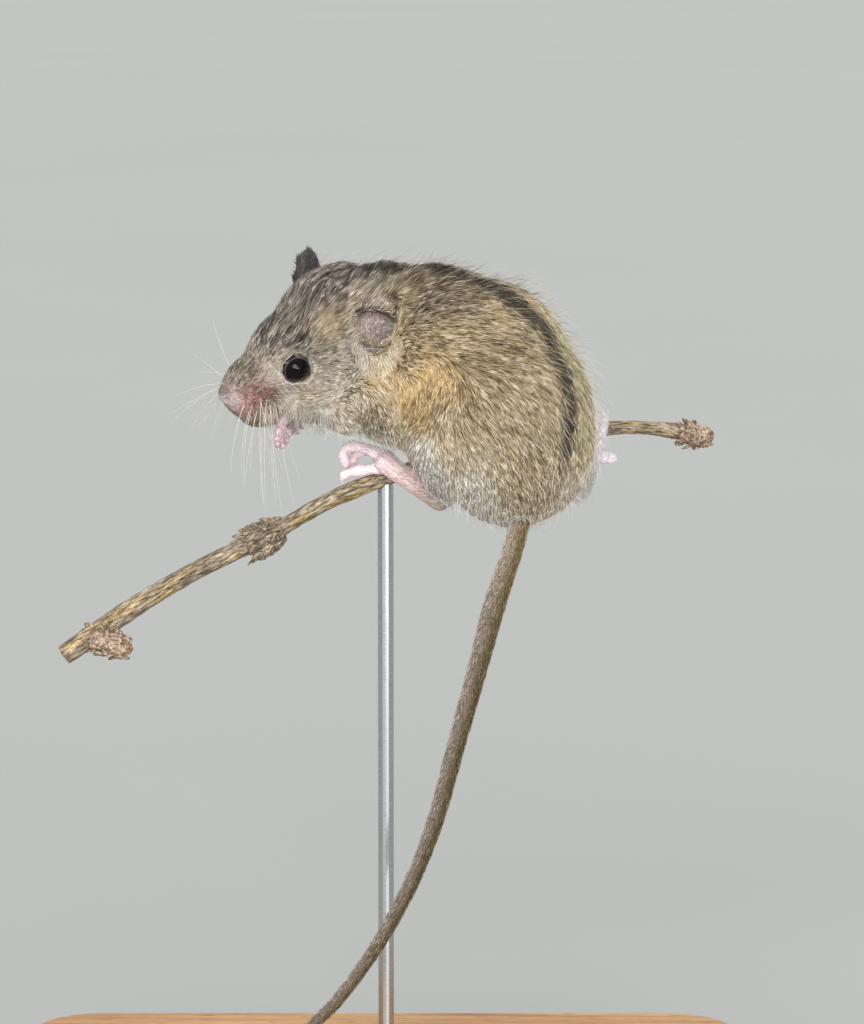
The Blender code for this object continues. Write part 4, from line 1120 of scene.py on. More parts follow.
# Feet: the instep's places and radii, then each toe's, which end with its claw's tip.
FEET = {
    "hind_foot_left": """
        7.2 -2.6 79 1.5, 5.2 -0.6 80 1.36, 2.6 1.4 81.4 1.3, 0.4 2.9 82.8 1.36;
        0.6 3.4 83.3 0.8, -2 4.3 84.4 0.56, -4.1 5 84.6 0.5, -4.9 5.5 83.6 0.46, -4.6 5.7 82.3 0.38,
            -4.4 5.8 81.4;
        0.4 3.6 82.2 0.8, -1.4 3.9 81.9 0.56, -3.2 4.1 81.6 0.5, -4.6 4.3 81.2 0.44,
            -4.95 4.5 80.7 0.36, -5 4.7 79.9;
        0.8 4.4 83.2 0.8, -1.2 5.9 83.9 0.54, -3 7 83.6 0.48, -3.8 7.6 82.4 0.42, -3.8 7.7 81.2 0.36,
            -3.7 7.4 80.4;
        1 4.8 82.6 0.7, 0.2 6.6 83.2 0.5, -0.5 7.9 82.8 0.44, -0.6 8.5 81.6 0.38, -0.5 8.3 80.7;
        2.4 1.9 81.8 0.7, 1.4 3.6 82.9 0.5, 0.9 4.8 83 0.42, 0.4 5.7 82.7
    """,
    "hind_foot_right": """
        24.2 -0.4 79.6 1.35, 25.4 1.2 81.2 1.1, 26.2 2.8 83.2 0.95, 26.5 3.7 84.6 1;
        26.3 3.8 84.6 0.76, 25.8 4.8 86.6 0.52, 25.6 5.9 88.1 0.48, 25.5 7.4 88.6 0.44,
            25.4 8.6 87.8 0.38, 25.4 9 86.9;
        26.6 3.9 84.8 0.76, 26.7 4.7 86.6 0.56, 26.7 5.8 88.1 0.5, 26.7 7.4 88.8 0.46, 26.7 8.7 88 0.4,
            26.7 9.2 87;
        26.8 3.6 84.6 0.76, 27.5 4.6 86.2 0.52, 27.8 5.7 87.7 0.48, 27.9 7.2 88.4 0.44,
            27.9 8.4 87.6 0.38, 27.9 8.9 86.7;
        26.6 3.2 83.7 0.76, 27.9 3 83.5 0.64, 28.8 3 83.4 0.56, 29.6 3.3 83.2;
        25.8 2.9 83.4 0.66, 25 4.4 85.2 0.5, 24.7 5.3 86.6 0.44, 24.6 6 87.7
    """,
    "forepaw_left": """
        -10.8 -1 89.8 0.72, -11.9 -1.9 89 0.62, -12.5 -3 88 0.54;
        -12.7 -3.7 87.6 0.42, -13 -4 86.6 0.34, -12.9 -4.1 85.9 0.28, -12.7 -4 85.3;
        -12.5 -3.5 87.5 0.42, -12.5 -3.7 86.3 0.36, -12.3 -3.6 85.7 0.3, -12.1 -3.5 85.1;
        -12.3 -3.2 87.6 0.4, -12 -3.1 86.8 0.32, -11.8 -3 86.2 0.27, -11.5 -2.9 85.7;
        -12.2 -3 87.9 0.36, -11.7 -2.7 87.4 0.28, -11.4 -2.6 87 0.24, -11.1 -2.5 86.6
    """,
    "forepaw_right": """
        -10.6 0.6 89 0.9, -11 0.2 88.6 0.75, -11 0 88.2 0.64;
        -11.2 -0.2 88.2 0.4, -11.5 -0.4 87.6 0.32, -11.3 -0.4 87.1 0.26, -11 -0.3 86.7;
        -11 0 88.1 0.4, -10.9 -0.1 87.5 0.32, -10.6 0 87.1 0.26, -10.2 0.1 86.9;
        -10.9 0.3 88.2 0.38, -10.4 0.4 87.9 0.3, -10 0.5 87.7 0.24, -9.6 0.6 87.9;
        -10.8 0.6 88.6 0.34, -10.2 0.9 88.4 0.26, -9.8 1.1 88.4 0.22, -9.4 1.2 88.6
    """,
}
# Kinds of foot: what is added to the toes' radii, voxel, upper side and first seed.
FOOT_KINDS = {
    "hind_foot": (0.15, 0.115, (0, -0.6, 0.8), 60),
    "forepaw": (0.05, 0.08, (-0.4, -0.8, 0.4), 70),
}
# Each foot's roots of hairs and how far a tuft reaches round its heel.
FOOT_HAIRS = {
    "hind_foot_left": (2800, 1.6),
    "hind_foot_right": (4600, 3.4),
    "forepaw_left": (900, 0.0),
    "forepaw_right": (900, 0.0),
}
FOOT_HAIR_RADIUS = 0.026
CLAW_RADIUS, CLAW_TIP, CLAW_ROWS = 0.17, 0.03, 9
# Tints from heel to toe. The left hind foot is brownest at its heel and pinkest at its toes.
TINT_STOPS = (-0.1, 0.3, 0.75, 1.1, 1.5)
HEEL_TINT = ((0.42, 0.42, 0.34), (0.66, 0.58, 0.50), (0.80, 0.70, 0.67), (0.98, 0.93, 0.96), (1.0, 0.98, 1.0))
FOOT_TINTS = {
    "hind_foot_left": HEEL_TINT,
    "hind_foot_right": ((0.84, 0.90, 0.93),) * 5,
    "forepaw_left": ((0.62, 0.54, 0.57),) * 5,
    "forepaw_right": ((0.62, 0.54, 0.57),) * 5,
}


def foot(name, fuller, voxel, up, seed):
    """A bare foot with knuckles and toe pads, its claws, and sparse pale hairs on its upper side."""
    instep, *toes = ([tuple(map(float, place.split())) for place in line.split(",")]
                     for line in FEET[name].split(";"))
    bm, claws = bmesh.new(), bmesh.new()
    places, radii = smooth_line(instep, 14)
    add_tube(bm, places, radii, 16)
    add_ball(bm, Matrix.Identity(4), instep[0][:3], (instep[0][3],) * 3)
    tips = []
    for *route, tip in toes:
        places, radii = smooth_line(route, 8 * len(route))
        along = np.linspace(0, 1, len(radii))
        knuckle = 1 + 0.12 * np.sin(along * math.pi * 5 + 0.6) * (along > 0.15)
        add_tube(bm, places, (radii + fuller) * knuckle, 12)
        last, before, tip = places[-1], places[-4], np.array(tip)
        add_ball(bm, Matrix.Identity(4), places[-2], (radii[-1] * 1.25,) * 3, 2)
        middle = (last + tip) / 2 + unit(last - before) * 0.14
        horn, _ = smooth_line([(*last, 0), (*middle, 0), (*tip, 0)], CLAW_ROWS)
        add_tube(claws, horn, np.linspace(CLAW_RADIUS, CLAW_TIP, CLAW_ROWS), 10, 0.8)
        tips.append(tip)
    skin = melted("bare_" + name, bm, voxel, 3, "foot")
    to_root(unwrapped(skin), "foot_skin", name)
    to_root(from_bmesh("claws_" + name, claws, "claw"), "foot_skin")
    heel, wrist, front = np.array(instep[0][:3]), np.array(instep[-1][:3]), np.array(tips).mean(0)
    count, fluff = FOOT_HAIRS[name]

    def tint(points):
        along = ((points - heel) @ (wrist - heel)) / ((wrist - heel) @ (wrist - heel))
        return np.stack([np.interp(along, TINT_STOPS, column) for column in np.array(FOOT_TINTS[name]).T], 1)

    def by_heel(points):
        return clamp(1 - np.linalg.norm(points - heel, axis=1) / max(fluff, 0.1))

    set_colour(skin, "shade", tint(points_of(skin)))
    surface = Surface(skin)
    rng = np.random.default_rng(seed)
    root = surface.roots(count, rng, 1 + 2 * by_heel(surface.middle))
    root = kept(root, root[1] @ unit(np.array(up, float)) > -0.1)
    count, heel_share = len(root[0]), by_heel(root[0])
    lie = np.repeat(unit(front - heel)[None], count, axis=0) + rng.normal(0, 0.15, (count, 3))
    length = rng.uniform(0.5, 1.1, count) + 1.1 * heel_share
    lie -= np.array([0.0, 0.0, 0.7]) * heel_share[:, None]
    lift = (0.35 + 0.2 * heel_share, 0.12 + 0.2 * heel_share)
    tones = varied(flat_tones(count, "F0E0DC F8F0EC FFFCF8"), rng, 0.08) * tint(root[0])[:, None]
    strands("hair_" + name, surface, root, lie, length, lift, FOOT_HAIR_RADIUS, tones, seed=seed)


def feet():
    for i, (name, _) in enumerate(SIDES):
        for kind, (*build, seed) in FOOT_KINDS.items():
            foot(f"{kind}_{name}", *build, seed + i)


TAIL_ROUTE = (
    (18.2, -11.2, 82.4, 1.4), (17.5, -11.6, 79.2, 1.02), (16.1, -12, 73.8, 1.14), (14, -12.2, 67.4, 1.28),
    (11.8, -12, 59, 1.12), (9.3, -11.6, 49.8, 1.04), (6.6, -11.2, 39.8, 0.94), (3.2, -10.8, 31, 0.86),
    (-1.6, -10.4, 22.4, 0.78), (-7.2, -10.2, 15.2, 0.7), (-13.4, -10.2, 10.8, 0.6), (-19.4, -10.4, 9, 0.48),
    (-22.6, -10.6, 8.9, 0.36),
)
TAIL_TOP = unit(np.array([0.9, -0.35, 0.2]))
TAIL_ROWS, TAIL_SIDES, RING_PITCH = 760, 16, 0.36
TAIL_HAIRS, TAIL_HAIR_RADIUS = 7500, 0.037
# The tail's root is paler: how much, at places along its length.
ROOT_STOPS = (0, 8, 18, 40)
SKIN_PALER, HAIR_PALER = (2.2, 1.75, 1.3, 1.05), (2.1, 1.65, 1.25, 1.03)


def tail():
    """The tail: fine rings of scales with short hairs that lie towards the tip, browner above."""
    places, radii = smooth_line(TAIL_ROUTE, TAIL_ROWS)
    run = length_along(places)
    radii = radii * (1 + 0.035 * np.sin(run / RING_PITCH * 2 * math.pi)) - 0.06
    bm = bmesh.new()
    verts = add_faces(bm, *tube_arrays(places, radii, TAIL_SIDES))
    bm.faces.new(verts[:TAIL_SIDES])
    end = bm.verts.new(Vector((places[-1] + unit(places[-1] - places[-3]) * 0.4) * MM))
    last = verts[-TAIL_SIDES:]
    for a, b in zip(last, last[1:] + last[:1]):
        bm.faces.new((a, b, end))
    skin = from_bmesh("tail_skin", bm, "tail")
    unwrapped(skin)
    to_root(skin, "tail_skin", "tail_root", "tail_middle", "tail_tip")
    share = clamp(normals_of(skin) @ TAIL_TOP * 0.9 + 0.35)[:, None]
    paler = np.interp(run[nearest(places, points_of(skin))], ROOT_STOPS, SKIN_PALER)[:, None]
    set_colour(skin, "coat", blend(linear("8C7F74"), linear("56492F"), share) * paler)
    surface = Surface(skin)
    rng = np.random.default_rng(90)
    root = surface.roots(TAIL_HAIRS, rng)
    points, normal, _ = root
    count = len(points)
    near = nearest(places, points)
    tangent = unit(np.gradient(places, axis=0))[near]
    share = clamp(normal @ TAIL_TOP * 0.9 + 0.35 + rng.normal(0, 0.15, count))[:, None, None]
    above = flat_tones(count, "423620 675A38 A09266")
    below = flat_tones(count, "85786F A89D92 CBC1B4")
    paler = np.interp(run[near], ROOT_STOPS, HAIR_PALER)[:, None, None]
    tones = np.minimum(varied(blend(below, above, share) * paler, rng, 0.3), 0.9)
    length = rng.uniform(0.8, 1.5, count) * np.interp(near, (0, TAIL_ROWS * 0.12, TAIL_ROWS), (1.5, 1.0, 0.8))
    strands("tail_hair", surface, root, tangent, length, (0.38, 0.1), TAIL_HAIR_RADIUS, tones, seed=91)


TWIG_ROUTE = (
    (-40.2, 3.2, 58.3, 1.28), (-30.2, 3.7, 65.1, 1.24), (-22.1, 4.1, 69.7, 1.1), (-15, 4.4, 73.1, 1.06),
    (-7.8, 4.8, 77.2, 0.98), (-3.9, 5, 79, 1.12), (0.4, 5.3, 80.6, 1), (8.5, 5.8, 83.1, 0.96),
    (18.5, 6.4, 85.4, 0.92), (27.9, 7, 86.6, 0.86), (33.5, 7.3, 86.7, 0.84), (37.4, 7.5, 86.2, 0.9),
)
TWIG_ROWS, TWIG_SIDES, TWIG_SWELLINGS = 420, 24, 16
# Small warts of the bark: x, how far off the middle line, and size.
WARTS = ((-3.6, (0.2, -0.7, 0.7), 0.7), (-1.0, (0.0, -0.9, 0.4), 0.45), (24.0, (0, -0.4, 0.7), 0.5))
KNOB_AT, KNOB_WAY, KNOB_RADII, KNOB_SCALES = -15.0, (0.9, 0.1, 0.42), (3.2, 2.3, 2.4), 30
KNOB_TINTED = (3.0, 2.6, 2.6)
# Buds: x of the place on the twig, how far off it, the way along it, radii and seed.
BUDS = {
    "end": (37.4, (1.9, 0.1, -0.4), (1, 0.1, -0.2), (2.6, 1.5, 1.6), 3),
    "side": (-35.4, (0.9, -0.8, -1.6), (0.94, -0.1, -0.3), (3.2, 1.9, 1.9), 5),
}
BUD_SCALES = 26


def bud_scales(bm, centre, along, radii, scales, seed, core=0.8):
    """An oval core under thin oval scales that overlap and point along it."""
    rng = random.Random(seed)
    along = Vector(along).normalized()
    side = along.orthogonal().normalized()
    frame = Matrix((along, side, along.cross(side))).transposed().to_4x4()
    frame = Matrix.Translation(centre) @ frame
    length, wide, high = radii
    add_ball(bm, frame, (0, 0, 0), (length, wide * core, high * core))
    for i in range(scales):
        t = (i + 0.5) / scales
        turn = i * 2.4 + rng.uniform(-0.3, 0.3)
        x = length * (1.6 * t - 0.9)
        reach = math.sqrt(max(0.05, 1 - (x / length) ** 2)) * rng.uniform(0.8, 1.05)
        out = Vector((0, math.cos(turn) * wide * reach, math.sin(turn) * high * reach))
        size = length * rng.uniform(0.3, 0.46)
        tilt = Matrix.Rotation(rng.uniform(0.1, 0.6), 4, "Y")
        place = Matrix.Translation(Vector((x, 0, 0)) + out)
        local = place @ Matrix.Rotation(turn - math.pi / 2, 4, "X") @ tilt
        add_ball(bm, frame @ local, (0, 0, 0), (size, size * 0.5, 0.2), 2)


def roughened(obj, size, depth, seed, stretch=(1, 1, 1)):
    """Moves each point along its normal by noise of that grain size and depth, in millimetres."""
    points, normal = points_of(obj), normals_of(obj)
    scale = np.array(stretch) * size
    lift = np.array([noise.fractal(Vector(p / scale) + Vector((seed, 0, 0)), 0.9, 2.1, 4) for p in points])
    set_points(obj, points + normal * (lift * depth)[:, None])


def noise_share(points, gain):
    """Noise at points as a column of shares from 0 to 1."""
    return np.array([0.5 + gain * noise.noise(Vector(p)) for p in points]).clip(0, 1)[:, None]


def bark_colour(obj, low, high):
    """A broad tint for the bark, from noise."""
    return blend(linear(low), linear(high), noise_share(points_of(obj) / (3.2, 1.4, 1.6), 0.9))


def twig():
    places, radii = smooth_line(TWIG_ROUTE, TWIG_ROWS)
    rng = random.Random(5)
    for _ in range(TWIG_SWELLINGS):
        spot, wide = rng.uniform(0, TWIG_ROWS - 1), rng.uniform(4, 9)
        radii = radii * (1 + rng.uniform(0.03, 0.09) * gauss(np.arange(TWIG_ROWS) - spot, wide))
    bm = bmesh.new()
    verts = add_faces(bm, *tube_arrays(places, radii, TWIG_SIDES))
    bm.faces.new(verts[:TWIG_SIDES])
    bm.faces.new(verts[-TWIG_SIDES:][::-1])
    bmesh.ops.recalc_face_normals(bm, faces=bm.faces)

    def at(x):
        return places[np.abs(places[:, 0] - x).argmin()]

    knob = at(KNOB_AT)
    bud_scales(bm, knob, KNOB_WAY, KNOB_RADII, KNOB_SCALES, 11, 0.78)
    for x, off, size in WARTS:
        add_ball(bm, Matrix.Identity(4), at(x) + np.array(off), (size * 1.4, size * 0.8, size * 0.8), 2)
    bark = melted("twig_bark", bm, 0.15, 1, "bark")
    away = oval(points_of(bark), knob, (3.4, 2.8, 2.8))
    roughened(bark, 0.5, 0.09, 3, (5.0, 1.0, 1.6))
    roughened(bark, 0.45, 0.30 * clamp(2.2 * (1.15 - away)), 9)
    points = points_of(bark)
    away = oval(points, knob, KNOB_TINTED)
    dry = blend(linear("8E8072"), linear("FFF4EA"), noise_share(points * 1.3, 1.6))
    share = clamp(2.5 * (1.25 - away[:, None])) * 0.75
    set_colour(bark, "bark", blend(bark_colour(bark, "C0B6AA", "FFF8EC"), dry, share))
    near = nearest(places, points)
    plain = 1 - clamp(2.5 * (1.4 - away))
    grain = [length_along(places)[near] / 7, (points - places[near])[:, 1:], plain]
    set_colour(bark, "grain", np.column_stack(grain))
    to_root(bark, "bark", "perch_twig")
    for name, (x, off, along, radii, seed) in BUDS.items():
        centre = at(x) + off
        bm = bmesh.new()
        bud_scales(bm, centre, along, radii, BUD_SCALES, seed)
        bud = melted(f"bud_{name}", bm, 0.1, 1, "bud")
        roughened(bud, 0.45, 0.16, seed)
        tip = centre + unit(np.array(along, float)) * radii[0]
        share = clamp(1 - np.linalg.norm(points_of(bud) - tip, axis=1) / 1.5)[:, None] * 0.7
        set_colour(bud, "bark", blend(bark_colour(bud, "B0A090", "FFF4EA"), linear("F0A884"), share))
        to_root(bud, "bark", f"perch_{name}_bud")


def stand():
    for name, finish, slot in (
        ("stand_base", "wood", "stand_wood"),
        ("stand_rod", "steel", "stand_steel"),
        ("stand_collar", "steel", "stand_steel"),
    ):
        obj = NODES[name]
        obj.data.materials.clear()
        obj.data.materials.append(FINISH[finish])


GROW = 0.22                                 # what closes the cuts between the solids
SKIN_VOXEL = 0.4
COAT_RISE = 0.36                            # how high the coat stands, as a share of its hair's length
FINER = (5.5, 10.5)                         # ahead of these places in the head, the skin's mesh is finer
MOUTH_LINE = (
    (17.6, 0.0, -2.6, 0.24), (16.6, 1.9, -3.1, 0.26), (14.8, 3.2, -3.7, 0.26), (12.8, 4.0, -4.1, 0.22),
    (11.2, 4.5, -4.0, 0.12),
)
MOUTH_FROM = 9                              # the mouth's line matters ahead of this place in the head
NOSTRIL_AT, NOSTRIL_RADII = (17.5, 1.0, 0.35), (1.0, 0.7, 0.55)
# Bare places of the face in the head's frame: place, radii, soft edge and colour.
BARE = (
    ((14.5, 0.0, -0.8), (4.8, 9.0, 3.3), 0.6, "A2827C"),
    ((17.2, 0.0, 0.0), (1.5, 2.2, 1.6), 0.35, "C6B8B8"),
    ((17.0, 0.0, 1.6), (2.2, 2.4, 1.0), 0.4, "857570"),
)
EYE_BARE = 1.73                             # no hair grows nearer to an eye's centre


def flesh():
    """One closed skin from the flesh nodes, each grown a little so that the cuts close."""
    bm = bmesh.new()
    for name in FLESH:
        part = bmesh.new()
        part.from_mesh(NODES[name].data)
        bmesh.ops.remove_doubles(part, verts=part.verts, dist=1e-7)
        part.normal_update()
        shift = [v.normal * min(v.calc_shell_factor(), 1.5) * GROW * MM for v in part.verts]
        for vert, step in zip(part.verts, shift):
            vert.co += step
        mesh = bpy.data.meshes.new("part")
        part.to_mesh(mesh)
        part.free()
        bm.from_mesh(mesh)
        bpy.data.meshes.remove(mesh)
    mesh = bpy.data.meshes.new("mouse_skin")
    bm.to_mesh(mesh)
    bm.free()
    obj = placed_object("mouse_skin", mesh, "skin")
    add_melt(obj, SKIN_VOXEL)
    settle(obj)
    keep_largest(obj)
    return obj


def softened(obj, share, rounds):
    """Smooths obj where share is high, a number from 0 to 1 for each point."""
    group = obj.vertex_groups.new(name="soft")
    for i, value in enumerate(share):
        if value > 0.01:
            group.add([i], float(value), "REPLACE")
    add_soften(obj, rounds, "soft")
    settle(obj)
    obj.vertex_groups.clear()


def refined(obj, limit):
    """Halves the edges whose place in the head is ahead of limit."""
    bm = bmesh.new()
    bm.from_mesh(obj.data)
    ahead = in_head(np.array([v.co for v in bm.verts]) / MM)[:, 0] > limit
    bm.verts.ensure_lookup_table()
    chosen = [e for e in bm.edges if ahead[e.verts[0].index] and ahead[e.verts[1].index]]
    bmesh.ops.subdivide_edges(bm, edges=chosen, cuts=1, use_grid_fill=True, smooth=0.6)
    bmesh.ops.triangulate(bm, faces=[f for f in bm.faces if len(f.verts) > 4])
    bm.to_mesh(obj.data)
    bm.free()
    obj.data.shade_smooth()


def to_mouth(place, side):
    """How far places in the head are from one side of the mouth's line."""
    line, _ = smooth_line([(f, l * side, u, r) for f, l, u, r in MOUTH_LINE], 60)
    return np.sqrt(((place[:, None] - line[None]) ** 2).sum(-1)).min(1)


def face_detail(obj):
    """Mouth line, lips, nose pad, nostrils and the groove below them, as moves along the normal."""
    points, normal = points_of(obj), normals_of(obj)
    place = in_head(points)
    near = place[:, 0] > 6
    head = place[near]
    lift = np.zeros(len(head))
    for side in (1, -1):
        away = to_mouth(head, side)
        lift += 0.16 * gauss(away - 0.5, 0.28) - 0.34 * gauss(away, 0.2)
        pad = oval(head, sided((16.9, 0.75, 0.5), side), (1.1, 0.8, 0.9))
        hole = oval(head, sided(NOSTRIL_AT, side), NOSTRIL_RADII)
        slit = oval(head, sided((17.0, 1.35, 0.6), side), (0.5, 0.6, 0.28))
        lift += 0.16 * gauss(pad, 1.0) - 0.5 * gauss(hole, 0.42) - 0.22 * gauss(slit, 0.6)
        for row in range(3):
            for col in range(4):
                at = (14.9 - 0.85 * col, (2.35 + 0.28 * col) * side, -0.6 - 0.75 * row)
                lift += 0.07 * gauss(np.linalg.norm(head - at, axis=1), 0.3)
    groove = np.abs(head[:, 1]) + np.clip(-2.4 - head[:, 2], 0, 9) + np.clip(head[:, 2] - 0.2, 0, 9)
    lift -= 0.2 * gauss(groove, 0.22) * (head[:, 0] > 14.5)
    full = np.zeros(len(points))
    full[near] = lift
    set_points(obj, points + normal * full[:, None])


def skin():
    obj = flesh()
    front = clamp((in_head(points_of(obj))[:, 0] - 2) / 6)
    softened(obj, 1 - 0.85 * front, 14)
    points = points_of(obj)
    length = coat_fields(points)[1]
    set_points(obj, points - normals_of(obj) * (length * COAT_RISE)[:, None])
    softened(obj, np.full(len(points), 0.5), 2)
    for limit in FINER:
        refined(obj, limit)
    face_detail(obj)
    unwrapped(obj)
    points = points_of(obj)
    tones = coat_fields(points)[2]
    set_colour(obj, "coat", face_colour(points, tones[:, 1] * 0.55 + tones[:, 3] * 0.45))
    to_root(obj, "fur", *FLESH)
    return obj


def face_colour(points, colour):
    """Bare colours of the nose, lips and lids over the coat's own, with painted shade in the mouth's crease
    and in the nostrils.
    """
    place = in_head(points)
    for at, size, edge, code in BARE:
        colour = blend(colour, linear(code), clamp((1 - oval(place, at, size)) / edge)[:, None])
    for _, side in SIDES:
        near = np.where(place[:, 0] > MOUTH_FROM)[0]
        # The mouth's line: the lips' darker skin, with painted shade in its crease.
        share = (gauss(to_mouth(place[near], side), 0.3) * 0.75)[:, None]
        colour[near] = blend(colour[near], linear("7A4A48"), share)
        # Painted shade in the nostrils.
        hole = oval(place, sided(NOSTRIL_AT, side), NOSTRIL_RADII)
        colour = blend(colour, linear("4A3030"), (gauss(hole, 0.5) * 0.85)[:, None])
        away = np.linalg.norm(points - eye_frame(side)[0], axis=1)
        colour = blend(colour, linear("564A4C"), clamp((2.1 - away) / 0.5)[:, None] * 0.8)
    return colour


def open_to_hair(points):
    """False where no hair grows: on the nose, round the eyes, in the ears' room and in the mouth."""
    place = in_head(points)
    keep = oval(place, (17.2, 0, 0.1), (1.5, 1.9, 1.5)) >= 1
    for _, side in SIDES:
        keep &= np.linalg.norm(points - eye_frame(side)[0], axis=1) > EYE_BARE
        keep &= oval(in_ear(points, side), (EAR_ROOM[0] - EAR_CUP, 0, 0), EAR_ROOM) > 1.03
        near = np.where(place[:, 0] > MOUTH_FROM)[0]
        keep[near] &= to_mouth(place[near], side) > 0.2
    return keep


COAT_HAIRS, COAT_PIECES = 152000, 10
STRAIGHT_PIECES, STRAIGHT_WIDER = 0.4, 1.3  # share of the pieces with straight hairs, and their radius
TUFT_SIZE, TUFT_GATHER = 5, 0.2             # hairs in a tuft, and how far their tips draw together
HAIR_BASE, HAIR_SLOPE, HAIR_MOST = 0.026, 0.0085, 0.054
GUARD_HAIRS, GUARD_RADIUS = 1700, 0.021
BELLY_HAIRS, BELLY_RADIUS = 4600, 0.024
JAW_AT = (-10.2, -3.5, 90.3)


def hair_tones(root, tones, lead, rng):
    """Agouti hairs: a dark root, then a dark, common or light shaft, some with a dark tip."""
    count = len(lead)
    tuft = rng.beta(1.1, 1.1, count)[lead]
    own = clamp(0.66 * tuft + 0.34 * rng.random(count))
    own = clamp(0.5 + 1.3 * (own - 0.5))
    tip = clamp(np.where(rng.random(count) < 0.25, own - 0.45, own + 0.08))

    def pick(value):
        low = clamp(value * 2)[:, None]
        high = clamp(value * 2 - 1)[:, None]
        return blend(blend(tones[:, 0], tones[:, 1], low), tones[:, 2], high)

    return np.stack([root[:, 3] * 0.8, pick(own), pick(tip)], 1)


def coat(surface):
    """The coat: tufts of hairs in pieces, from the shortest to the longest."""
    rng = np.random.default_rng(7)
    total, pieces = ((COAT_HAIRS, COAT_PIECES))
    weight = (3.3 / np.clip(coat_fields(surface.middle)[1], 0.5, 9)) ** 0.85
    root = surface.roots(total, rng, weight)
    root = kept(root, open_to_hair(root[0]))
    points, count = root[0], len(root[0])
    leads = np.sort(rng.choice(count, count // TUFT_SIZE, replace=False))
    lead = tree_nearest(search_tree(points, leads), points)
    lie, size, at_root = coat_fields(points)
    length = size * rng.uniform(0.7, 1.15, count)
    shaft = points + unit(lie) * (length * 0.75)[:, None] + rng.normal(0, 0.33, (count, 3))
    tones = coat_fields(shaft)[2]
    drift = rng.normal(0, 0.04, (count, 3))
    lie = unit(lie) + drift[lead] + rng.normal(0, 0.045, (count, 3))
    low = rng.normal(0.60, 0.07, count)[lead] + rng.normal(0, 0.05, count)
    high = rng.normal(0.09, 0.06, count)
    radius = np.clip(HAIR_BASE + HAIR_SLOPE * length, HAIR_BASE, HAIR_MOST) * rng.uniform(0.8, 1.2, count)
    colours = hair_tones(at_root, tones, lead, rng)
    order = np.argsort(np.argsort(size[leads], kind="stable"))
    part = order[np.searchsorted(leads, lead)] * pieces // len(leads)
    place = np.zeros(count, int)
    for k in range(pieces):
        mine = np.where(part == k)[0]
        place[mine] = np.arange(len(mine))
        if k < STRAIGHT_PIECES * pieces:
            wider, first, stations = STRAIGHT_WIDER, 1, (0.0, 1.0)
        else:
            wider, first, stations = 1.0, 0, (0.0, 0.6, 1.0)
        strands(f"coat_{k + 1}", surface, kept(root, mine), lie[mine], length[mine],
                (low[mine], high[mine]), radius[mine] * wider, colours[mine, first:], stations,
                (place[lead[mine]], TUFT_GATHER), 0.07, 100 + k)


def guard_hairs(surface):
    """Long single hairs that stand out of the coat along the back, rump, belly and throat."""
    rng = np.random.default_rng(17)
    root = surface.roots(GUARD_HAIRS, rng, np.clip(coat_fields(surface.middle)[1] - 2.1, 0, 3))
    root = kept(root, open_to_hair(root[0]))
    lie, length, tones = coat_fields(root[0])
    count = len(length)
    length = length * rng.uniform(1.2, 2.0, count)
    lie = unit(lie) + rng.normal(0, 0.14, (count, 3))
    lift = (rng.uniform(0.5, 0.95, count), rng.uniform(0.25, 0.7, count))
    pale = np.where(rng.random(count) < 0.85, 1.0, 0.0)[:, None]
    end = blend(tones[:, 0], tones[:, 2], pale) * (1 + 0.4 * pale)
    colours = np.stack([tones[:, 3], tones[:, 1], tones[:, 1], end, end], 1)
    strands("guard_hairs", surface, root, lie, length, lift, GUARD_RADIUS, np.clip(colours, 0, 0.95),
            (0.0, 0.3, 0.55, 0.8, 1.0), bend=0.12, seed=18)


def belly_fringe(surface):
    """White hairs that hang from the underside: short on chin and throat, longer on belly and rump."""
    rng = np.random.default_rng(19)
    middle = surface.middle
    down = -unit(surface.normals[surface.verts].mean(1))[:, 2]
    weight = clamp((down - 0.25) * 3) * np.where(middle[:, 0] < -3, 1.6, 1.0)
    weight[oval(middle, JAW_AT, (4.6, 3.2, 1.9)) < 1] = 4.0
    root = surface.roots(BELLY_HAIRS, rng, weight)
    root = kept(root, open_to_hair(root[0]) & (in_head(root[0])[:, 0] < 15))
    lie, length, tones = coat_fields(root[0])
    count = len(length)
    share = rng.uniform(0.8, 1.15, count)
    share[rng.random(count) < 0.1] *= 1.6
    length = np.maximum(length, 0.9) * share
    lie = unit(lie) * 0.8 + np.array([0.0, 0.0, -0.6]) + rng.normal(0, 0.12, (count, 3))
    jaw = oval(root[0], JAW_AT, (4.8, 3.4, 2.1)) < 1
    lie[jaw] = np.array([0.25, -0.12, -1.0]) + rng.normal(0, 0.14, (jaw.sum(), 3))
    length[jaw] = rng.uniform(1.8, 3.0, jaw.sum())
    lift = (rng.uniform(0.5, 0.8, count), rng.uniform(0.2, 0.5, count))
    white = np.maximum(tones[:, 2] * 1.1, linear("D8D2C4"))
    white[jaw] = tones[jaw, 1] * 0.5 + tones[jaw, 2] * 0.3
    colours = np.clip(np.stack([tones[:, 1], white, white, white], 1), 0, 0.92)
    strands("belly_fringe", None, root, lie, length, lift, BELLY_RADIUS, colours, (0.0, 0.35, 0.7, 1.0),
            bend=0.12, seed=20)


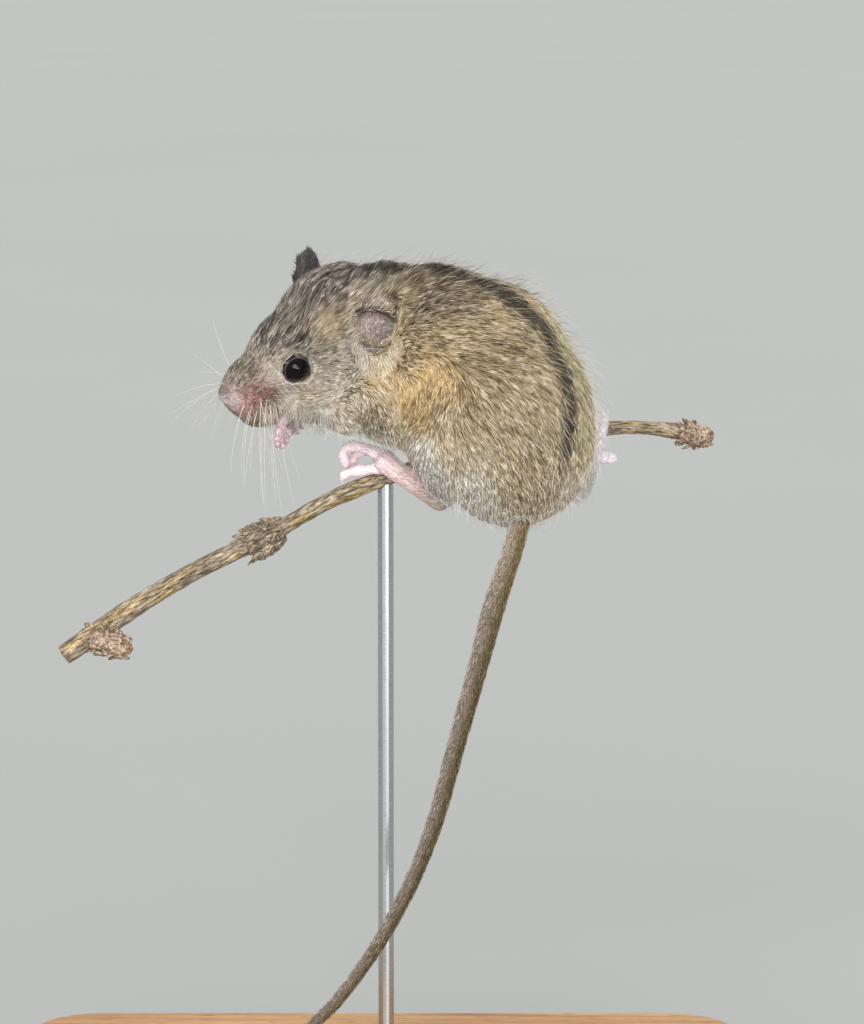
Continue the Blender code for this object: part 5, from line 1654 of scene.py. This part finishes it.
# Whiskers of one side in the head's frame: place on the pad, the way they point and their length.
WHISKERS = """
15.4 2.2 0.5 0.3 0.75 0.95 6
14.1 2.9 0.3 -0.2 0.9 0.75 8.5
15.5 2.3 -0.3 0.8 0.85 0.15 7
14 3 -0.5 0.45 1 -0.1 11.5
15.6 2.3 -0.8 0.95 0.6 -0.3 8.5
14.9 2.6 -0.9 0.85 0.62 -0.4 10.5
14.2 2.9 -1 0.75 0.66 -0.5 12
13.4 3.2 -1 0.62 0.72 -0.55 13
15.4 2.4 -1.4 0.9 0.45 -0.55 7.5
14.7 2.7 -1.5 0.78 0.48 -0.62 10
13.9 3 -1.6 0.68 0.52 -0.7 12
13.1 3.3 -1.7 0.58 0.58 -0.74 13.5
12.3 3.5 -1.8 0.46 0.62 -0.78 12
15.1 2.5 -2.1 0.75 0.32 -0.8 6
14.3 2.8 -2.2 0.66 0.35 -0.85 8
13.5 3.1 -2.3 0.58 0.4 -0.88 10.5
12.7 3.4 -2.4 0.5 0.44 -0.9 11.5
11.9 3.6 -2.5 0.4 0.48 -0.92 9.5
14.6 2.6 -2.8 0.62 0.22 -1 4.5
13.7 2.9 -3 0.52 0.24 -1 6.5
12.6 3.2 -3.2 0.42 0.26 -1 7.5
"""
WHISKER_ROWS, WHISKER_RADIUS, WHISKER_TIP = 11, 0.046, 0.010


def whiskers(surface):
    rng = np.random.default_rng(23)
    bm = bmesh.new()
    for _, side in SIDES:
        for line in WHISKERS.strip().splitlines():
            *numbers, length = (float(number) for number in line.split())
            base = surface.raised((HEAD_AT + sided(numbers[:3], side) @ HEAD)[None], -0.1)
            way = unit(sided(numbers[3:], side) @ HEAD + rng.normal(0, 0.06, 3))
            droop = np.array([0.0, 0.0, -1.0]) * rng.uniform(0.05, 0.26)
            back = -HEAD[0] * rng.uniform(0.02, 0.2)
            t = np.linspace(0, 1, WHISKER_ROWS)[:, None]
            curve = base + way * t * length + (droop + back) * length * t ** 2
            add_tube(bm, curve, np.linspace(WHISKER_RADIUS, WHISKER_TIP, WHISKER_ROWS), 6)
    obj = from_bmesh("whiskers", bm, "whisker")
    fade = clamp((in_head(points_of(obj))[:, 0] - 10) / 6)[:, None]
    set_colour(obj, "coat", linear("E9E4DA") * (1 - 0.15 * fade))
    to_root(unwrapped(obj), "fur")


camera_and_light()
skin_surface = Surface(skin())
coat(skin_surface)
guard_hairs(skin_surface)
belly_fringe(skin_surface)
ear_fringe(skin_surface)
whiskers(skin_surface)
eyes()
ears()
feet()
tail()
twig()
stand()
